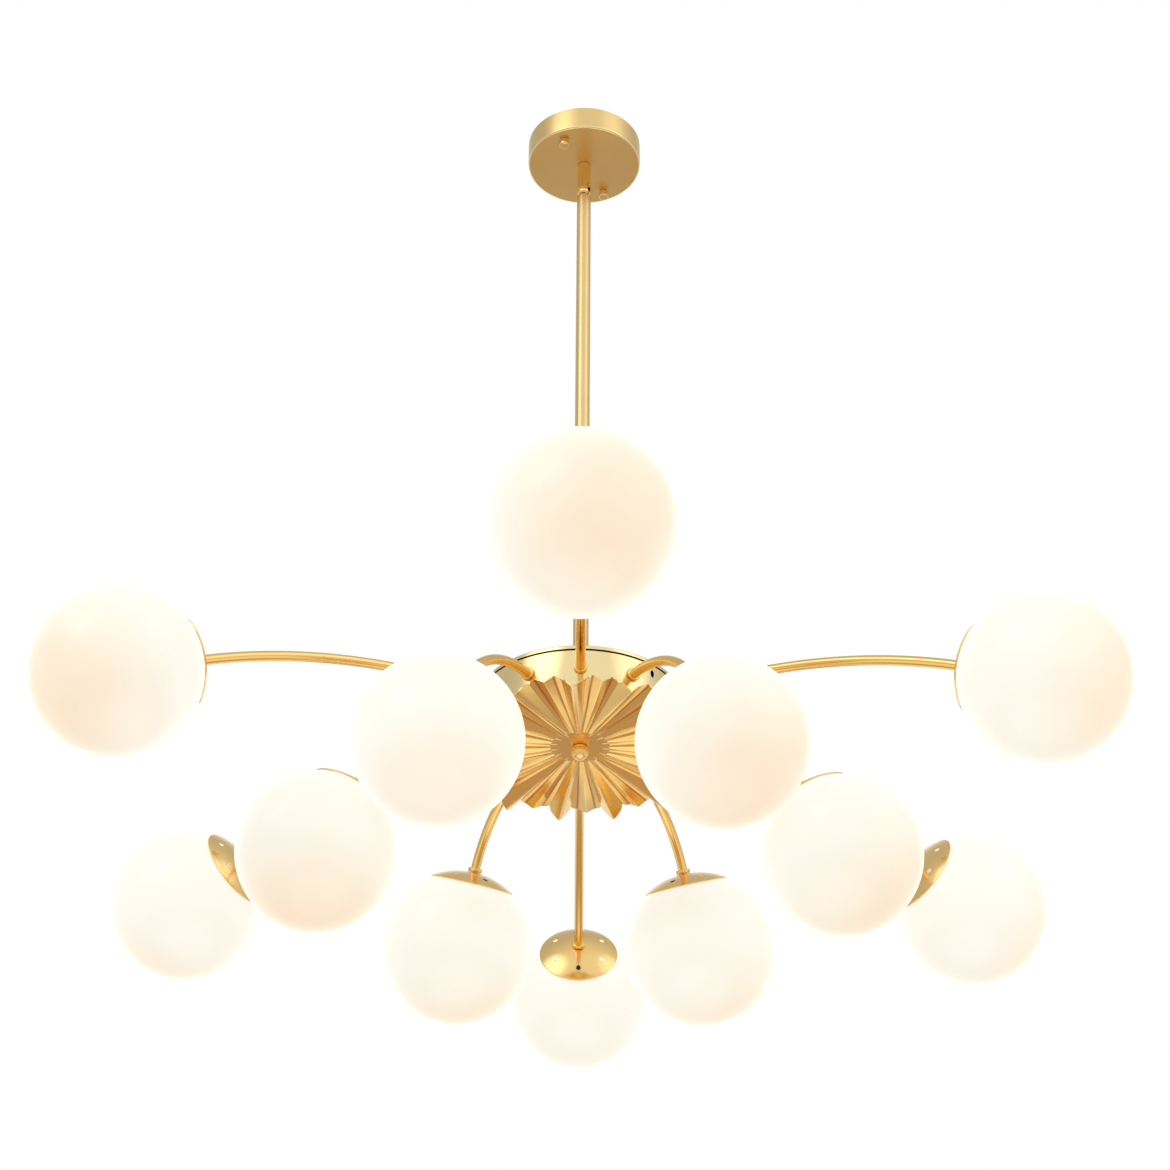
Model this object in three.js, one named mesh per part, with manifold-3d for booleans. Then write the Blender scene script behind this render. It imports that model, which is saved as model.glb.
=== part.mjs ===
// Multi arm ceiling chandelier: twelve opal glass globes on six long and six short curved arms.
// The arms leave a round drum that hangs on a down rod from a ball joint under the ceiling canopy.
// Millimetres, +Z up. The origin is on the ceiling, where the bracket touches it, above the rod.
// Azimuth 0 points along -Y, the front, and grows towards +X. Each arm is drawn in a frame whose
// +X points outwards, and each lamp head in a frame whose +Z points from the arm's end to its globe.

import * as THREE from 'three';
import { mergeVertices } from 'three/addons/utils/BufferGeometryUtils.js';
import Module from 'manifold-3d';

const wasm = await Module();
wasm.setup();

// Clearances
const SEAT_GAP = 0.3;            // between faces that rest on each other
const BORE_GAP = 0.4;            // round a screw or a shaft in its hole
const CUT_OVERRUN = 2;           // how far a cutting tool runs past the face that it cuts

// Ceiling bracket, with its two studs
const BRACKET_END_ROOM = 6.8;    // from the bracket's ends to the canopy's wall
const BRACKET_WIDTH = 22;
const BRACKET_THICKNESS = 2.5;
const BRACKET_AZIMUTH_DEG = -28; // the direction of the front stud
const BRACKET_SLOT_LENGTH = 14;  // for the screws into the ceiling
const BRACKET_SLOT_WIDTH = 5;
const BRACKET_SLOT_PLACE = 26;   // from the middle to the slot's middle
const STUD_RADIUS = 2;
const STUD_END_MARGIN = 7;       // from a stud's axis to the bracket's end
const STUD_REACH = 8;            // how far a stud stands out below the canopy

// Terminal block under the bracket
const TERMINAL_LENGTH = 34;
const TERMINAL_WIDTH = 16;
const TERMINAL_HEIGHT = 11;
const TERMINAL_SCREW_RADIUS = 2;
const TERMINAL_SCREW_DEPTH = 4;
const TERMINAL_SCREW_PITCH = 10;
const TERMINAL_SCREWS = 3;

// Canopy, a shallow cap against the ceiling
const CANOPY_RADIUS = 62;
const CANOPY_HEIGHT = 28.5;
const CANOPY_WALL = 1.2;
const CANOPY_EDGE_ROUND = 2;

// Cap nuts that hold the canopy on the studs
const CAP_NECK_RADIUS = 4.1;
const CAP_NECK_HEIGHT = 5;
const CAP_HEAD_RADIUS = 5.5;
const CAP_HEAD_HEIGHT = 6;
const CAP_CHAMFER = 1.2;

// Ball joint: a socket under the canopy, slotted on one side, and the ball on top of the rod
const SOCKET_RADIUS = 7.1;
const SOCKET_LENGTH = 43.3;
const SOCKET_THREAD_RADIUS = 5;
const SOCKET_THREAD_REST = 3;    // of the thread that shows above the locknut
const SOCKET_WIRE_RADIUS = 2.4;
const LOCKNUT_RADIUS = 9;
const LOCKNUT_HEIGHT = 4.5;
const LIP_HEIGHT = 6.2;
const LIP_ROUND = 2.6;
const LIP_GROOVE = 0.5;
const BALL_RADIUS = 5;
const BALL_ABOVE_LIP = 6.4;      // from the socket's lower end to the ball's centre
const SLOT_AZIMUTH_DEG = 60;
const SLOT_HEIGHT_ABOVE_BALL = 6.5;

// Down rod, a tube
const ROD_RADIUS = 7.7;
const ROD_WALL = 1.2;
const ROD_LENGTH = 640.2;
const ROD_SHOULDER = 3.6;
const ROD_CROWN = 4;             // material under the shoulder that closes the tube
const ROD_NECK_RADIUS = 2.7;
const ROD_WIRE_RADIUS = 1.2;
const TILT_GAP = 1.2;            // between the socket's lip and the rod's top
const ROD_FOOT_LENGTH = 16;      // of the threaded plug in the rod's lower end

// Drum
const DRUM_RADIUS = 96.4;
const DRUM_WALL = 1.5;
const DRUM_HEIGHT = 46.7;
const DRUM_TOP_ABOVE_ARMS = 20.2;
const LID_RIM_HEIGHT = 3.6;
const LID_SHEET = 1.5;
const LID_GROOVE = 0.7;          // the dark line between the lid's rim and the wall
const LID_SPIGOT = 4;            // of the ring that centres the lid inside the wall
const SIDE_HOLE_RADIUS = 2.6;
const SIDE_HOLE_AZIMUTH_DEG = 44;
const SIDE_HOLE_ABOVE_ARMS = 10;

// Tie rod through the middle of the drum, with its nuts
const TIE_RADIUS = 5;
const TIE_END_RADIUS = 3;
const TIE_NUT_RADIUS = 9;
const TIE_NUT_HEIGHT = 6;
const TIE_END_LENGTH = 7;        // of the thin end inside the finial

// Pleated starburst plate under the drum
const PLATE_SHEET = 1.2;
const PLATE_BELOW_DRUM = 3.5;    // from the drum's underside to the flat boss's lower face
const PLATE_BOSS_RADIUS = 22;
const PETALS = 15;
const FIRST_PETAL_AZIMUTH_DEG = -3;
const PETAL_NOTCH_RADIUS = 122;
const PETAL_REACH = 8;           // from the notches out to the petals' tips
const PLEAT_DEPTH = 13.2;        // from the valleys down to a petal's tip, at the rim
const PLATE_RIM_RISE = 2.2;      // how far the valleys climb from the boss to the rim
// Round one petal, from its crest to the next: where each fold lies, how far it reaches from the
// notches to the tips, and how far it drops from the valleys to the tips
const FOLD_TURN_SHARES = [0, 0.125, 0.21, 0.33, 0.5, 0.67, 0.79, 0.875];
const FOLD_REACH_SHARES = [1, 0.72, 0, 0.75, 0.8, 0.75, 0, 0.72];
const FOLD_DROP_SHARES = [1, 0.5, 0.12, 0, 0.37, 0, 0.12, 0.5];

// Finial, the ball nut under the plate
const FINIAL_RADIUS = 8.6;
const FINIAL_CENTRE_DROP = 4.7;  // from its flat seat to the ball's centre

// Arms
const ARM_RADIUS = 4.7;
const ARM_SPIGOT_RADIUS = 4;
const ARM_ROOT_COLLAR_RADIUS = 6.5;
const ARM_ROOT_COLLAR_LENGTH = 3.2;
const ARM_NUT_RADIUS = 7.5;
const ARM_NUT_LENGTH = 4;
const ARM_END_COLLAR_RADIUS = 7.2;
const ARM_END_COLLAR_LENGTH = 4;
const ARMS_OF_A_KIND = 6;
const LONG_FIRST_AZIMUTH_DEG = 0;
const LONG_STRAIGHT = 40;        // from the drum to where the bend starts
const LONG_BEND_RADIUS = 602;
const LONG_BEND_DEG = 24.4;
const SHORT_FIRST_AZIMUTH_DEG = 30;
const SHORT_STRAIGHT = 0;
const SHORT_BEND_RADIUS = 123;
const SHORT_BEND_DEG = 63.9;

// Globe, and the cup that it screws into
const GLOBE_RADIUS = 75;
const GLASS_WALL = 2;
const MOUTH_RADIUS = 36;
const CUP_GAP = 0.5;             // between the cup and the glass
const CUP_WALL = 1.2;
const CUP_RIM_RADIUS = 41.8;
const CUP_RING_WALL = 1.3;       // of the threaded ring inside the glass's mouth
const CUP_RING_REACH = 6;        // how far that ring stands out past the glass's inner edge
const VENT_RADIUS = 2.6;
const VENT_CIRCLE_RADIUS = 29;
const VENTS = 6;

// Lamp: a holder with its capsule bulb
const HOLDER_RADIUS = 12;
const HOLDER_LENGTH = 20;
const HOLDER_BORE_DEPTH = 8;     // of the hole that takes the arm's end
const BULB_BASE_RADIUS = 6.5;
const BULB_BASE_LENGTH = 5;
const BULB_RADIUS = 8;
const BULB_LENGTH = 36;          // of the glass capsule
const BULB_TIP_SHARE = 0.45;     // the tip's flat, as a share of the capsule's radius

// Facets
const ROUND_SIDES = 12;
const DRUM_SIDES = 24;
const HEAD_SIDES = 12;           // of a globe and its cup, which share their facets' directions
const TUBE_SIDES = 8;
const HEX_SIDES = 6;
const GLOBE_OUTER_RINGS = 6;
const GLOBE_INNER_RINGS = 5;
const ROUND_STEPS = 2;
const BALL_STEPS = 4;
const BEND_STEPS = 6;

// Levels, all measured down from the ceiling
const canopyFace = -CANOPY_HEIGHT;
const socketTop = canopyFace - SEAT_GAP;
const socketEnd = canopyFace - SOCKET_LENGTH;
const pivotLevel = socketEnd + BALL_ABOVE_LIP;
const rodTop = socketEnd - TILT_GAP;
const rodEnd = rodTop - ROD_LENGTH;
const lidTop = rodEnd - SEAT_GAP;
const drumTop = lidTop - LID_RIM_HEIGHT - LID_GROOVE;
const drumBottom = drumTop - DRUM_HEIGHT;
const armLevel = drumTop - DRUM_TOP_ABOVE_ARMS;
const bossFace = drumBottom - PLATE_BELOW_DRUM;
const finialSeat = bossFace - SEAT_GAP;

// Half the length of the bracket, which fits into the canopy, and how far out its studs stand
const bracketReach = CANOPY_RADIUS - CANOPY_WALL - BRACKET_END_ROOM;
const studPlace = bracketReach - STUD_END_MARGIN;

// The two kinds of arm, and how far from the axis their tubes start
const armKinds = [
  {
    kind: 'long',
    firstAzimuthDeg: LONG_FIRST_AZIMUTH_DEG,
    straight: LONG_STRAIGHT,
    bendRadius: LONG_BEND_RADIUS,
    bendDeg: LONG_BEND_DEG,
  },
  {
    kind: 'short',
    firstAzimuthDeg: SHORT_FIRST_AZIMUTH_DEG,
    straight: SHORT_STRAIGHT,
    bendRadius: SHORT_BEND_RADIUS,
    bendDeg: SHORT_BEND_DEG,
  },
];
const armStart = DRUM_RADIUS + SEAT_GAP;

const radians = THREE.MathUtils.degToRad;
const degrees = THREE.MathUtils.radToDeg;

// The angle above the level plane at which a ball's surface is a given distance from its axis
function sideDeg(distance, ballRadius) {
  return degrees(Math.acos(distance / ballRadius));
}

// Points of an arc about a centre, in the plane of a turned profile, first angle to last
function arc(centreRadius, centreZ, radius, fromDeg, toDeg, steps) {
  const points = [];
  for (let i = 0; i <= steps; i += 1) {
    const angle = radians(fromDeg + (toDeg - fromDeg) * i / steps);
    points.push([centreRadius + radius * Math.cos(angle), centreZ + radius * Math.sin(angle)]);
  }
  return points;
}

// Twice the signed area of a closed outline: positive where it runs anticlockwise
function turnedArea(profile) {
  let area = 0;
  profile.forEach(([radius, z], i) => {
    const [nextRadius, nextZ] = profile[(i + 1) % profile.length];
    area += radius * nextZ - nextRadius * z;
  });
  return area;
}

// A solid of revolution about +Z from a profile of [radius, z] points, which starts and ends on the
// axis or else closes on itself
function turned(profile, sides) {
  const points = turnedArea(profile) > 0 ? [...profile] : [...profile].reverse();
  if (points[0][0] > 0) {
    points.push(points[0]);
  }
  const outline = points.map(([radius, z]) => new THREE.Vector2(radius, z));
  const geometry = new THREE.LatheGeometry(outline, sides);
  return geometry.rotateX(Math.PI / 2);
}

// A round bar along +Z from one level to another
function bar(radius, fromZ, toZ, sides = ROUND_SIDES) {
  return turned([[0, fromZ], [radius, fromZ], [radius, toZ], [0, toZ]], sides);
}

// The corner radius of a hole with flat sides that clears a round bar all the way round
function holeRadius(radius, sides) {
  return (radius + BORE_GAP) / Math.cos(Math.PI / sides);
}

// A geometry as a solid that can be joined and cut
function solidOf(geometry) {
  const bare = geometry.clone();
  bare.deleteAttribute('normal');
  bare.deleteAttribute('uv');
  const merged = mergeVertices(bare);
  const index = merged.index.array;
  const triangles = [];
  for (let i = 0; i < index.length; i += 3) {
    const [a, b, c] = [index[i], index[i + 1], index[i + 2]];
    if (a !== b && b !== c && c !== a) {
      triangles.push(a, b, c);
    }
  }
  const mesh = new wasm.Mesh({
    numProp: 3,
    vertProperties: new Float32Array(merged.attributes.position.array),
    triVerts: new Uint32Array(triangles),
  });
  return new wasm.Manifold(mesh);
}

// A solid as a geometry with its own normals
function geometryOf(solid) {
  const mesh = solid.getMesh();
  const geometry = new THREE.BufferGeometry();
  geometry.setAttribute('position', new THREE.Float32BufferAttribute(mesh.vertProperties, 3));
  geometry.setIndex(new THREE.BufferAttribute(new Uint32Array(mesh.triVerts), 1));
  geometry.computeVertexNormals();
  return geometry;
}

// The first geometry with the others joined to it
function joined(first, ...others) {
  return geometryOf(others.reduce((sum, other) => sum.add(solidOf(other)), solidOf(first)));
}

// The first geometry with the others cut out of it
function cut(first, ...tools) {
  return geometryOf(tools.reduce((rest, tool) => rest.subtract(solidOf(tool)), solidOf(first)));
}

// Closed rings of points, all as long as each other, skinned in order and back to the first
function skinned(rings) {
  const count = rings[0].length;
  const positions = rings.flat(2);
  const index = [];
  rings.forEach((ring, row) => {
    const nextRow = (row + 1) % rings.length;
    for (let i = 0; i < count; i += 1) {
      const j = (i + 1) % count;
      const [a, b] = [row * count + i, row * count + j];
      const [c, d] = [nextRow * count + j, nextRow * count + i];
      index.push(a, b, c, a, c, d);
    }
  });
  const geometry = new THREE.BufferGeometry();
  geometry.setAttribute('position', new THREE.Float32BufferAttribute(positions, 3));
  geometry.setIndex(index);
  geometry.computeVertexNormals();
  return geometry;
}

// Finishes, each of which gives a fresh material for one piece
const finish = (color, roughness, metalness) => () => (
  new THREE.MeshStandardMaterial({ color, roughness, metalness })
);
const satinGold = finish(0xd9b46a, 0.38, 1);
const deepGold = finish(0xcf9c4c, 0.32, 1);
const paleGold = finish(0xeedfb4, 0.16, 1);
const zincSteel = finish(0xb9bcc0, 0.45, 1);
const opalGlass = finish(0xfdf8f0, 0.25, 0);
const whiteCeramic = finish(0xf1efe9, 0.5, 0);
const creamPlastic = finish(0xe9e4d2, 0.6, 0);

const chandelier = new THREE.Group();

function addPiece(parent, name, geometry, material) {
  const mesh = new THREE.Mesh(geometry, material);
  mesh.name = name;
  parent.add(mesh);
}

// A frame whose +X points outwards at an azimuth
function outwardFrame(azimuthDeg, level) {
  const frame = new THREE.Group();
  frame.position.z = level;
  frame.rotation.z = radians(azimuthDeg) - Math.PI / 2;
  chandelier.add(frame);
  return frame;
}

// Ceiling bracket: a flat bar with two slots for the ceiling screws and two studs for the canopy
function bracketGeometry() {
  const plate = new THREE.BoxGeometry(2 * bracketReach, BRACKET_WIDTH, BRACKET_THICKNESS);
  plate.translate(0, 0, -BRACKET_THICKNESS / 2);
  const slots = [-1, 1].map((side) => {
    const slot = new THREE.BoxGeometry(
      BRACKET_SLOT_LENGTH,
      BRACKET_SLOT_WIDTH,
      BRACKET_THICKNESS + 2 * CUT_OVERRUN,
    );
    return slot.translate(side * BRACKET_SLOT_PLACE, 0, -BRACKET_THICKNESS / 2);
  });
  const studs = [-1, 1].map((side) => bar(
    STUD_RADIUS,
    canopyFace - STUD_REACH,
    -BRACKET_THICKNESS / 2,
    TUBE_SIDES,
  ).translate(side * studPlace, 0, 0));
  return joined(cut(plate, ...slots), ...studs);
}

// Terminal block: a plastic bar with a row of clamp screws, screwed under the bracket
function terminalGeometry() {
  const top = -BRACKET_THICKNESS - SEAT_GAP;
  const block = new THREE.BoxGeometry(TERMINAL_LENGTH, TERMINAL_WIDTH, TERMINAL_HEIGHT);
  block.translate(0, 0, top - TERMINAL_HEIGHT / 2);
  const bottom = top - TERMINAL_HEIGHT;
  const screws = Array.from({ length: TERMINAL_SCREWS }, (_, i) => bar(
    TERMINAL_SCREW_RADIUS,
    bottom - CUT_OVERRUN,
    bottom + TERMINAL_SCREW_DEPTH,
    TUBE_SIDES,
  ).translate((i - (TERMINAL_SCREWS - 1) / 2) * TERMINAL_SCREW_PITCH, 0, 0));
  return cut(block, ...screws);
}

// Canopy: a cap open towards the ceiling, with a hole for the socket's thread and two for the studs
function canopyGeometry() {
  const innerRadius = CANOPY_RADIUS - CANOPY_WALL;
  const bore = holeRadius(SOCKET_THREAD_RADIUS, ROUND_SIDES);
  const shell = turned([
    [bore, canopyFace],
    ...arc(CANOPY_RADIUS - CANOPY_EDGE_ROUND, canopyFace + CANOPY_EDGE_ROUND, CANOPY_EDGE_ROUND, -90, 0, 1),
    [CANOPY_RADIUS, 0],
    [innerRadius, 0],
    [innerRadius, canopyFace + CANOPY_EDGE_ROUND],
    [CANOPY_RADIUS - CANOPY_EDGE_ROUND, canopyFace + CANOPY_WALL],
    [bore, canopyFace + CANOPY_WALL],
  ], DRUM_SIDES);
  const holes = [-1, 1].map((side) => bar(
    holeRadius(STUD_RADIUS, TUBE_SIDES),
    canopyFace - CUT_OVERRUN,
    canopyFace + CANOPY_WALL + CUT_OVERRUN,
    TUBE_SIDES,
  ).translate(side * studPlace, 0, 0));
  return cut(shell, ...holes);
}

// Cap nut: a neck and a wider chamfered head, with a blind hole for the stud
function capNutGeometry() {
  const top = canopyFace - SEAT_GAP;
  const headTop = top - CAP_NECK_HEIGHT;
  const bottom = headTop - CAP_HEAD_HEIGHT;
  const bore = holeRadius(STUD_RADIUS, ROUND_SIDES);
  return turned([
    [0, bottom],
    [CAP_HEAD_RADIUS - CAP_CHAMFER, bottom],
    [CAP_HEAD_RADIUS, bottom + CAP_CHAMFER],
    [CAP_HEAD_RADIUS, headTop - CAP_CHAMFER],
    [CAP_NECK_RADIUS, headTop],
    [CAP_NECK_RADIUS, top],
    [bore, top],
    [bore, canopyFace - STUD_REACH - SEAT_GAP],
    [0, canopyFace - STUD_REACH - SEAT_GAP],
  ], ROUND_SIDES);
}

// Socket: thread and locknut in the canopy, a tube below it, and a rounded lip under the ball.
// The ball's seat opens downwards and, through the slot, to one side.
function socketGeometry() {
  const lipTop = socketEnd + LIP_HEIGHT;
  const nutBottom = canopyFace + CANOPY_WALL + SEAT_GAP;
  const nutTop = nutBottom + LOCKNUT_HEIGHT;
  const threadTop = nutTop + SOCKET_THREAD_REST;
  const seatRadius = BALL_RADIUS + BORE_GAP;
  const mouthRadius = ROD_NECK_RADIUS + BORE_GAP;
  const seatMouthDeg = sideDeg(mouthRadius, seatRadius);
  const body = turned([
    [SOCKET_WIRE_RADIUS, threadTop],
    [SOCKET_THREAD_RADIUS, threadTop],
    [SOCKET_THREAD_RADIUS, socketTop],
    [SOCKET_RADIUS, socketTop],
    [SOCKET_RADIUS, lipTop + LIP_GROOVE],
    [SOCKET_RADIUS - LIP_GROOVE, lipTop],
    [SOCKET_RADIUS, lipTop - LIP_GROOVE],
    ...arc(SOCKET_RADIUS - LIP_ROUND, socketEnd + LIP_ROUND, LIP_ROUND, 0, -90, ROUND_STEPS),
    [mouthRadius, socketEnd],
    ...arc(0, pivotLevel, seatRadius, -seatMouthDeg, sideDeg(SOCKET_WIRE_RADIUS, seatRadius), BALL_STEPS),
  ], ROUND_SIDES);
  const nut = bar(LOCKNUT_RADIUS, nutBottom, nutTop, HEX_SIDES);
  const slotWidth = 2 * (ROD_NECK_RADIUS + BORE_GAP);
  const slotTop = pivotLevel + SLOT_HEIGHT_ABOVE_BALL;
  const slotBottom = socketEnd - CUT_OVERRUN;
  const slot = new THREE.BoxGeometry(SOCKET_RADIUS + CUT_OVERRUN, slotWidth, slotTop - slotBottom);
  slot.translate((SOCKET_RADIUS + CUT_OVERRUN) / 2, 0, (slotTop + slotBottom) / 2);
  return cut(joined(body, nut), slot);
}

// Down rod: a tube with a rounded shoulder, a neck and the ball on top, bored for the wires
function rodGeometry() {
  const innerRadius = ROD_RADIUS - ROD_WALL;
  const neckDeg = sideDeg(ROD_NECK_RADIUS, BALL_RADIUS);
  return turned([
    [innerRadius, rodEnd],
    [ROD_RADIUS, rodEnd],
    ...arc(ROD_RADIUS - ROD_SHOULDER, rodTop - ROD_SHOULDER, ROD_SHOULDER, 0, 90, ROUND_STEPS),
    [ROD_NECK_RADIUS, rodTop],
    ...arc(0, pivotLevel, BALL_RADIUS, -neckDeg, sideDeg(ROD_WIRE_RADIUS, BALL_RADIUS), BALL_STEPS),
    [ROD_WIRE_RADIUS, rodTop - ROD_CROWN],
    [innerRadius, rodTop - ROD_CROWN],
  ], ROUND_SIDES);
}

// Drum: a round wall and floor, open at the top, drilled for the twelve arms and the tie rod
function drumGeometry() {
  const innerRadius = DRUM_RADIUS - DRUM_WALL;
  const bore = holeRadius(TIE_RADIUS, DRUM_SIDES);
  const shell = turned([
    [bore, drumBottom],
    [DRUM_RADIUS, drumBottom],
    [DRUM_RADIUS, drumTop],
    [innerRadius, drumTop],
    [innerRadius, drumBottom + DRUM_WALL],
    [bore, drumBottom + DRUM_WALL],
  ], DRUM_SIDES);
  const armHoles = armKinds.flatMap(({ firstAzimuthDeg }) => (
    Array.from({ length: ARMS_OF_A_KIND }, (_, i) => wallHole(
      holeRadius(ARM_SPIGOT_RADIUS, TUBE_SIDES),
      firstAzimuthDeg + i * 360 / ARMS_OF_A_KIND,
      armLevel,
    ))
  ));
  const sideHole = wallHole(SIDE_HOLE_RADIUS, SIDE_HOLE_AZIMUTH_DEG, armLevel + SIDE_HOLE_ABOVE_ARMS);
  return cut(shell, ...armHoles, sideHole);
}

// A drill through the drum's wall, pointing outwards at an azimuth
function wallHole(radius, azimuthDeg, level) {
  const drill = bar(radius, DRUM_RADIUS - DRUM_WALL - CUT_OVERRUN, DRUM_RADIUS + CUT_OVERRUN, TUBE_SIDES);
  drill.rotateZ(Math.PI / TUBE_SIDES).rotateY(Math.PI / 2);
  return drill.rotateZ(radians(azimuthDeg) - Math.PI / 2).translate(0, 0, level);
}

// Lid: a disc with a short rim outside and a centring ring that drops inside the wall
function lidGeometry() {
  const bore = holeRadius(TIE_RADIUS, DRUM_SIDES);
  const ringOuter = DRUM_RADIUS - DRUM_WALL - 2 * BORE_GAP;
  const ringInner = ringOuter - LID_SHEET;
  const rimBottom = lidTop - LID_RIM_HEIGHT;
  return turned([
    [bore, lidTop - LID_SHEET],
    [ringInner, lidTop - LID_SHEET],
    [ringInner, rimBottom - LID_SPIGOT],
    [ringOuter, rimBottom - LID_SPIGOT],
    [ringOuter, rimBottom],
    [DRUM_RADIUS, rimBottom],
    [DRUM_RADIUS, lidTop],
    [bore, lidTop],
  ], DRUM_SIDES);
}

// Tie rod: a plug in the rod's foot, a nut under the lid, one on the drum's floor, a spacer
// between the drum and the plate, and a thin end for the finial
function tieRodGeometry() {
  const plugRadius = (ROD_RADIUS - ROD_WALL) * Math.cos(Math.PI / ROUND_SIDES) - SEAT_GAP;
  const lidNutTop = lidTop - LID_SHEET - SEAT_GAP;
  const lidNutBottom = lidNutTop - TIE_NUT_HEIGHT;
  const floorNutBottom = drumBottom + DRUM_WALL + SEAT_GAP;
  const floorNutTop = floorNutBottom + TIE_NUT_HEIGHT;
  const spacerTop = drumBottom - SEAT_GAP;
  const spacerBottom = bossFace + PLATE_SHEET + SEAT_GAP;
  const shaft = turned([
    [0, finialSeat - TIE_END_LENGTH],
    [TIE_END_RADIUS, finialSeat - TIE_END_LENGTH],
    [TIE_END_RADIUS, spacerBottom],
    [TIE_NUT_RADIUS, spacerBottom],
    [TIE_NUT_RADIUS, spacerTop],
    [TIE_RADIUS, spacerTop],
    [TIE_RADIUS, rodEnd],
    [plugRadius, rodEnd],
    [plugRadius, rodEnd + ROD_FOOT_LENGTH],
    [0, rodEnd + ROD_FOOT_LENGTH],
  ], ROUND_SIDES);
  const lidNut = bar(TIE_NUT_RADIUS, lidNutBottom, lidNutTop, HEX_SIDES);
  const floorNut = bar(TIE_NUT_RADIUS, floorNutBottom, floorNutTop, HEX_SIDES);
  return joined(shaft, lidNut, floorNut);
}

// Starburst plate: a flat boss and a ring of pleats, whose deep crests end in round petals
function plateGeometry() {
  const bore = holeRadius(TIE_END_RADIUS, ROUND_SIDES);
  const turns = [];
  for (let petal = 0; petal < PETALS; petal += 1) {
    FOLD_TURN_SHARES.forEach((share, fold) => {
      turns.push({ angle: radians(FIRST_PETAL_AZIMUTH_DEG + (petal + share) * 360 / PETALS), fold });
    });
  }
  const valleyRim = bossFace + PLATE_RIM_RISE;
  const ring = (radiusOf, levelOf) => turns.map(({ angle, fold }) => [
    radiusOf(fold) * Math.sin(angle),
    -radiusOf(fold) * Math.cos(angle),
    levelOf(fold),
  ]);
  const rimRadius = (fold) => PETAL_NOTCH_RADIUS + PETAL_REACH * FOLD_REACH_SHARES[fold];
  const rimLevel = (fold) => valleyRim - PLEAT_DEPTH * FOLD_DROP_SHARES[fold];
  return skinned([
    ring(() => bore, () => bossFace + PLATE_SHEET),
    ring(() => bore, () => bossFace),
    ring(() => PLATE_BOSS_RADIUS, () => bossFace),
    ring(rimRadius, rimLevel),
    ring(rimRadius, (fold) => rimLevel(fold) + PLATE_SHEET),
    ring(() => PLATE_BOSS_RADIUS, () => bossFace + PLATE_SHEET),
  ]);
}

// Finial: a ball with a flat seat against the plate, and a blind hole for the tie rod's end
function finialGeometry() {
  const centre = finialSeat - FINIAL_CENTRE_DROP;
  const seatDeg = 90 - sideDeg(FINIAL_CENTRE_DROP, FINIAL_RADIUS);
  const bore = holeRadius(TIE_END_RADIUS, ROUND_SIDES);
  const boreEnd = finialSeat - TIE_END_LENGTH - SEAT_GAP;
  return turned([
    [0, centre - FINIAL_RADIUS],
    ...arc(0, centre, FINIAL_RADIUS, -90, seatDeg, BALL_STEPS).slice(1),
    [bore, finialSeat],
    [bore, boreEnd],
    [0, boreEnd],
  ], ROUND_SIDES);
}

// The line of an arm's tube: straight out of the drum, then a bend downwards
class ArmLine extends THREE.Curve {
  constructor(straight, bendRadius, bendDeg) {
    super();
    this.straight = straight;
    this.bendRadius = bendRadius;
    this.bend = radians(bendDeg);
  }

  getPoint(share, target = new THREE.Vector3()) {
    const distance = share * (this.straight + this.bendRadius * this.bend);
    const turn = Math.max(0, distance - this.straight) / this.bendRadius;
    return target.set(
      armStart + Math.min(distance, this.straight) + this.bendRadius * Math.sin(turn),
      0,
      -this.bendRadius * (1 - Math.cos(turn)),
    );
  }
}

// The frame of a lamp head: its origin at the tube's end, its +Z along the tube
function headMatrix({ straight, bendRadius, bendDeg }) {
  const bend = radians(bendDeg);
  const turn = new THREE.Matrix4().makeRotationY(Math.PI / 2 + bend);
  return turn.setPosition(
    armStart + straight + bendRadius * Math.sin(bend),
    0,
    -bendRadius * (1 - Math.cos(bend)),
  );
}

// In a lamp head's frame, from the tube's end: the collar, the cup's top, then the globe
const cupRadius = GLOBE_RADIUS + CUP_GAP;
const cupTop = SEAT_GAP;
const globeCentre = cupTop + CUP_WALL + cupRadius + ARM_END_COLLAR_LENGTH;
const holderTop = globeCentre - Math.sqrt(cupRadius ** 2 - HOLDER_RADIUS ** 2) + SEAT_GAP;
const spigotEnd = holderTop + HOLDER_BORE_DEPTH - SEAT_GAP;

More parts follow.
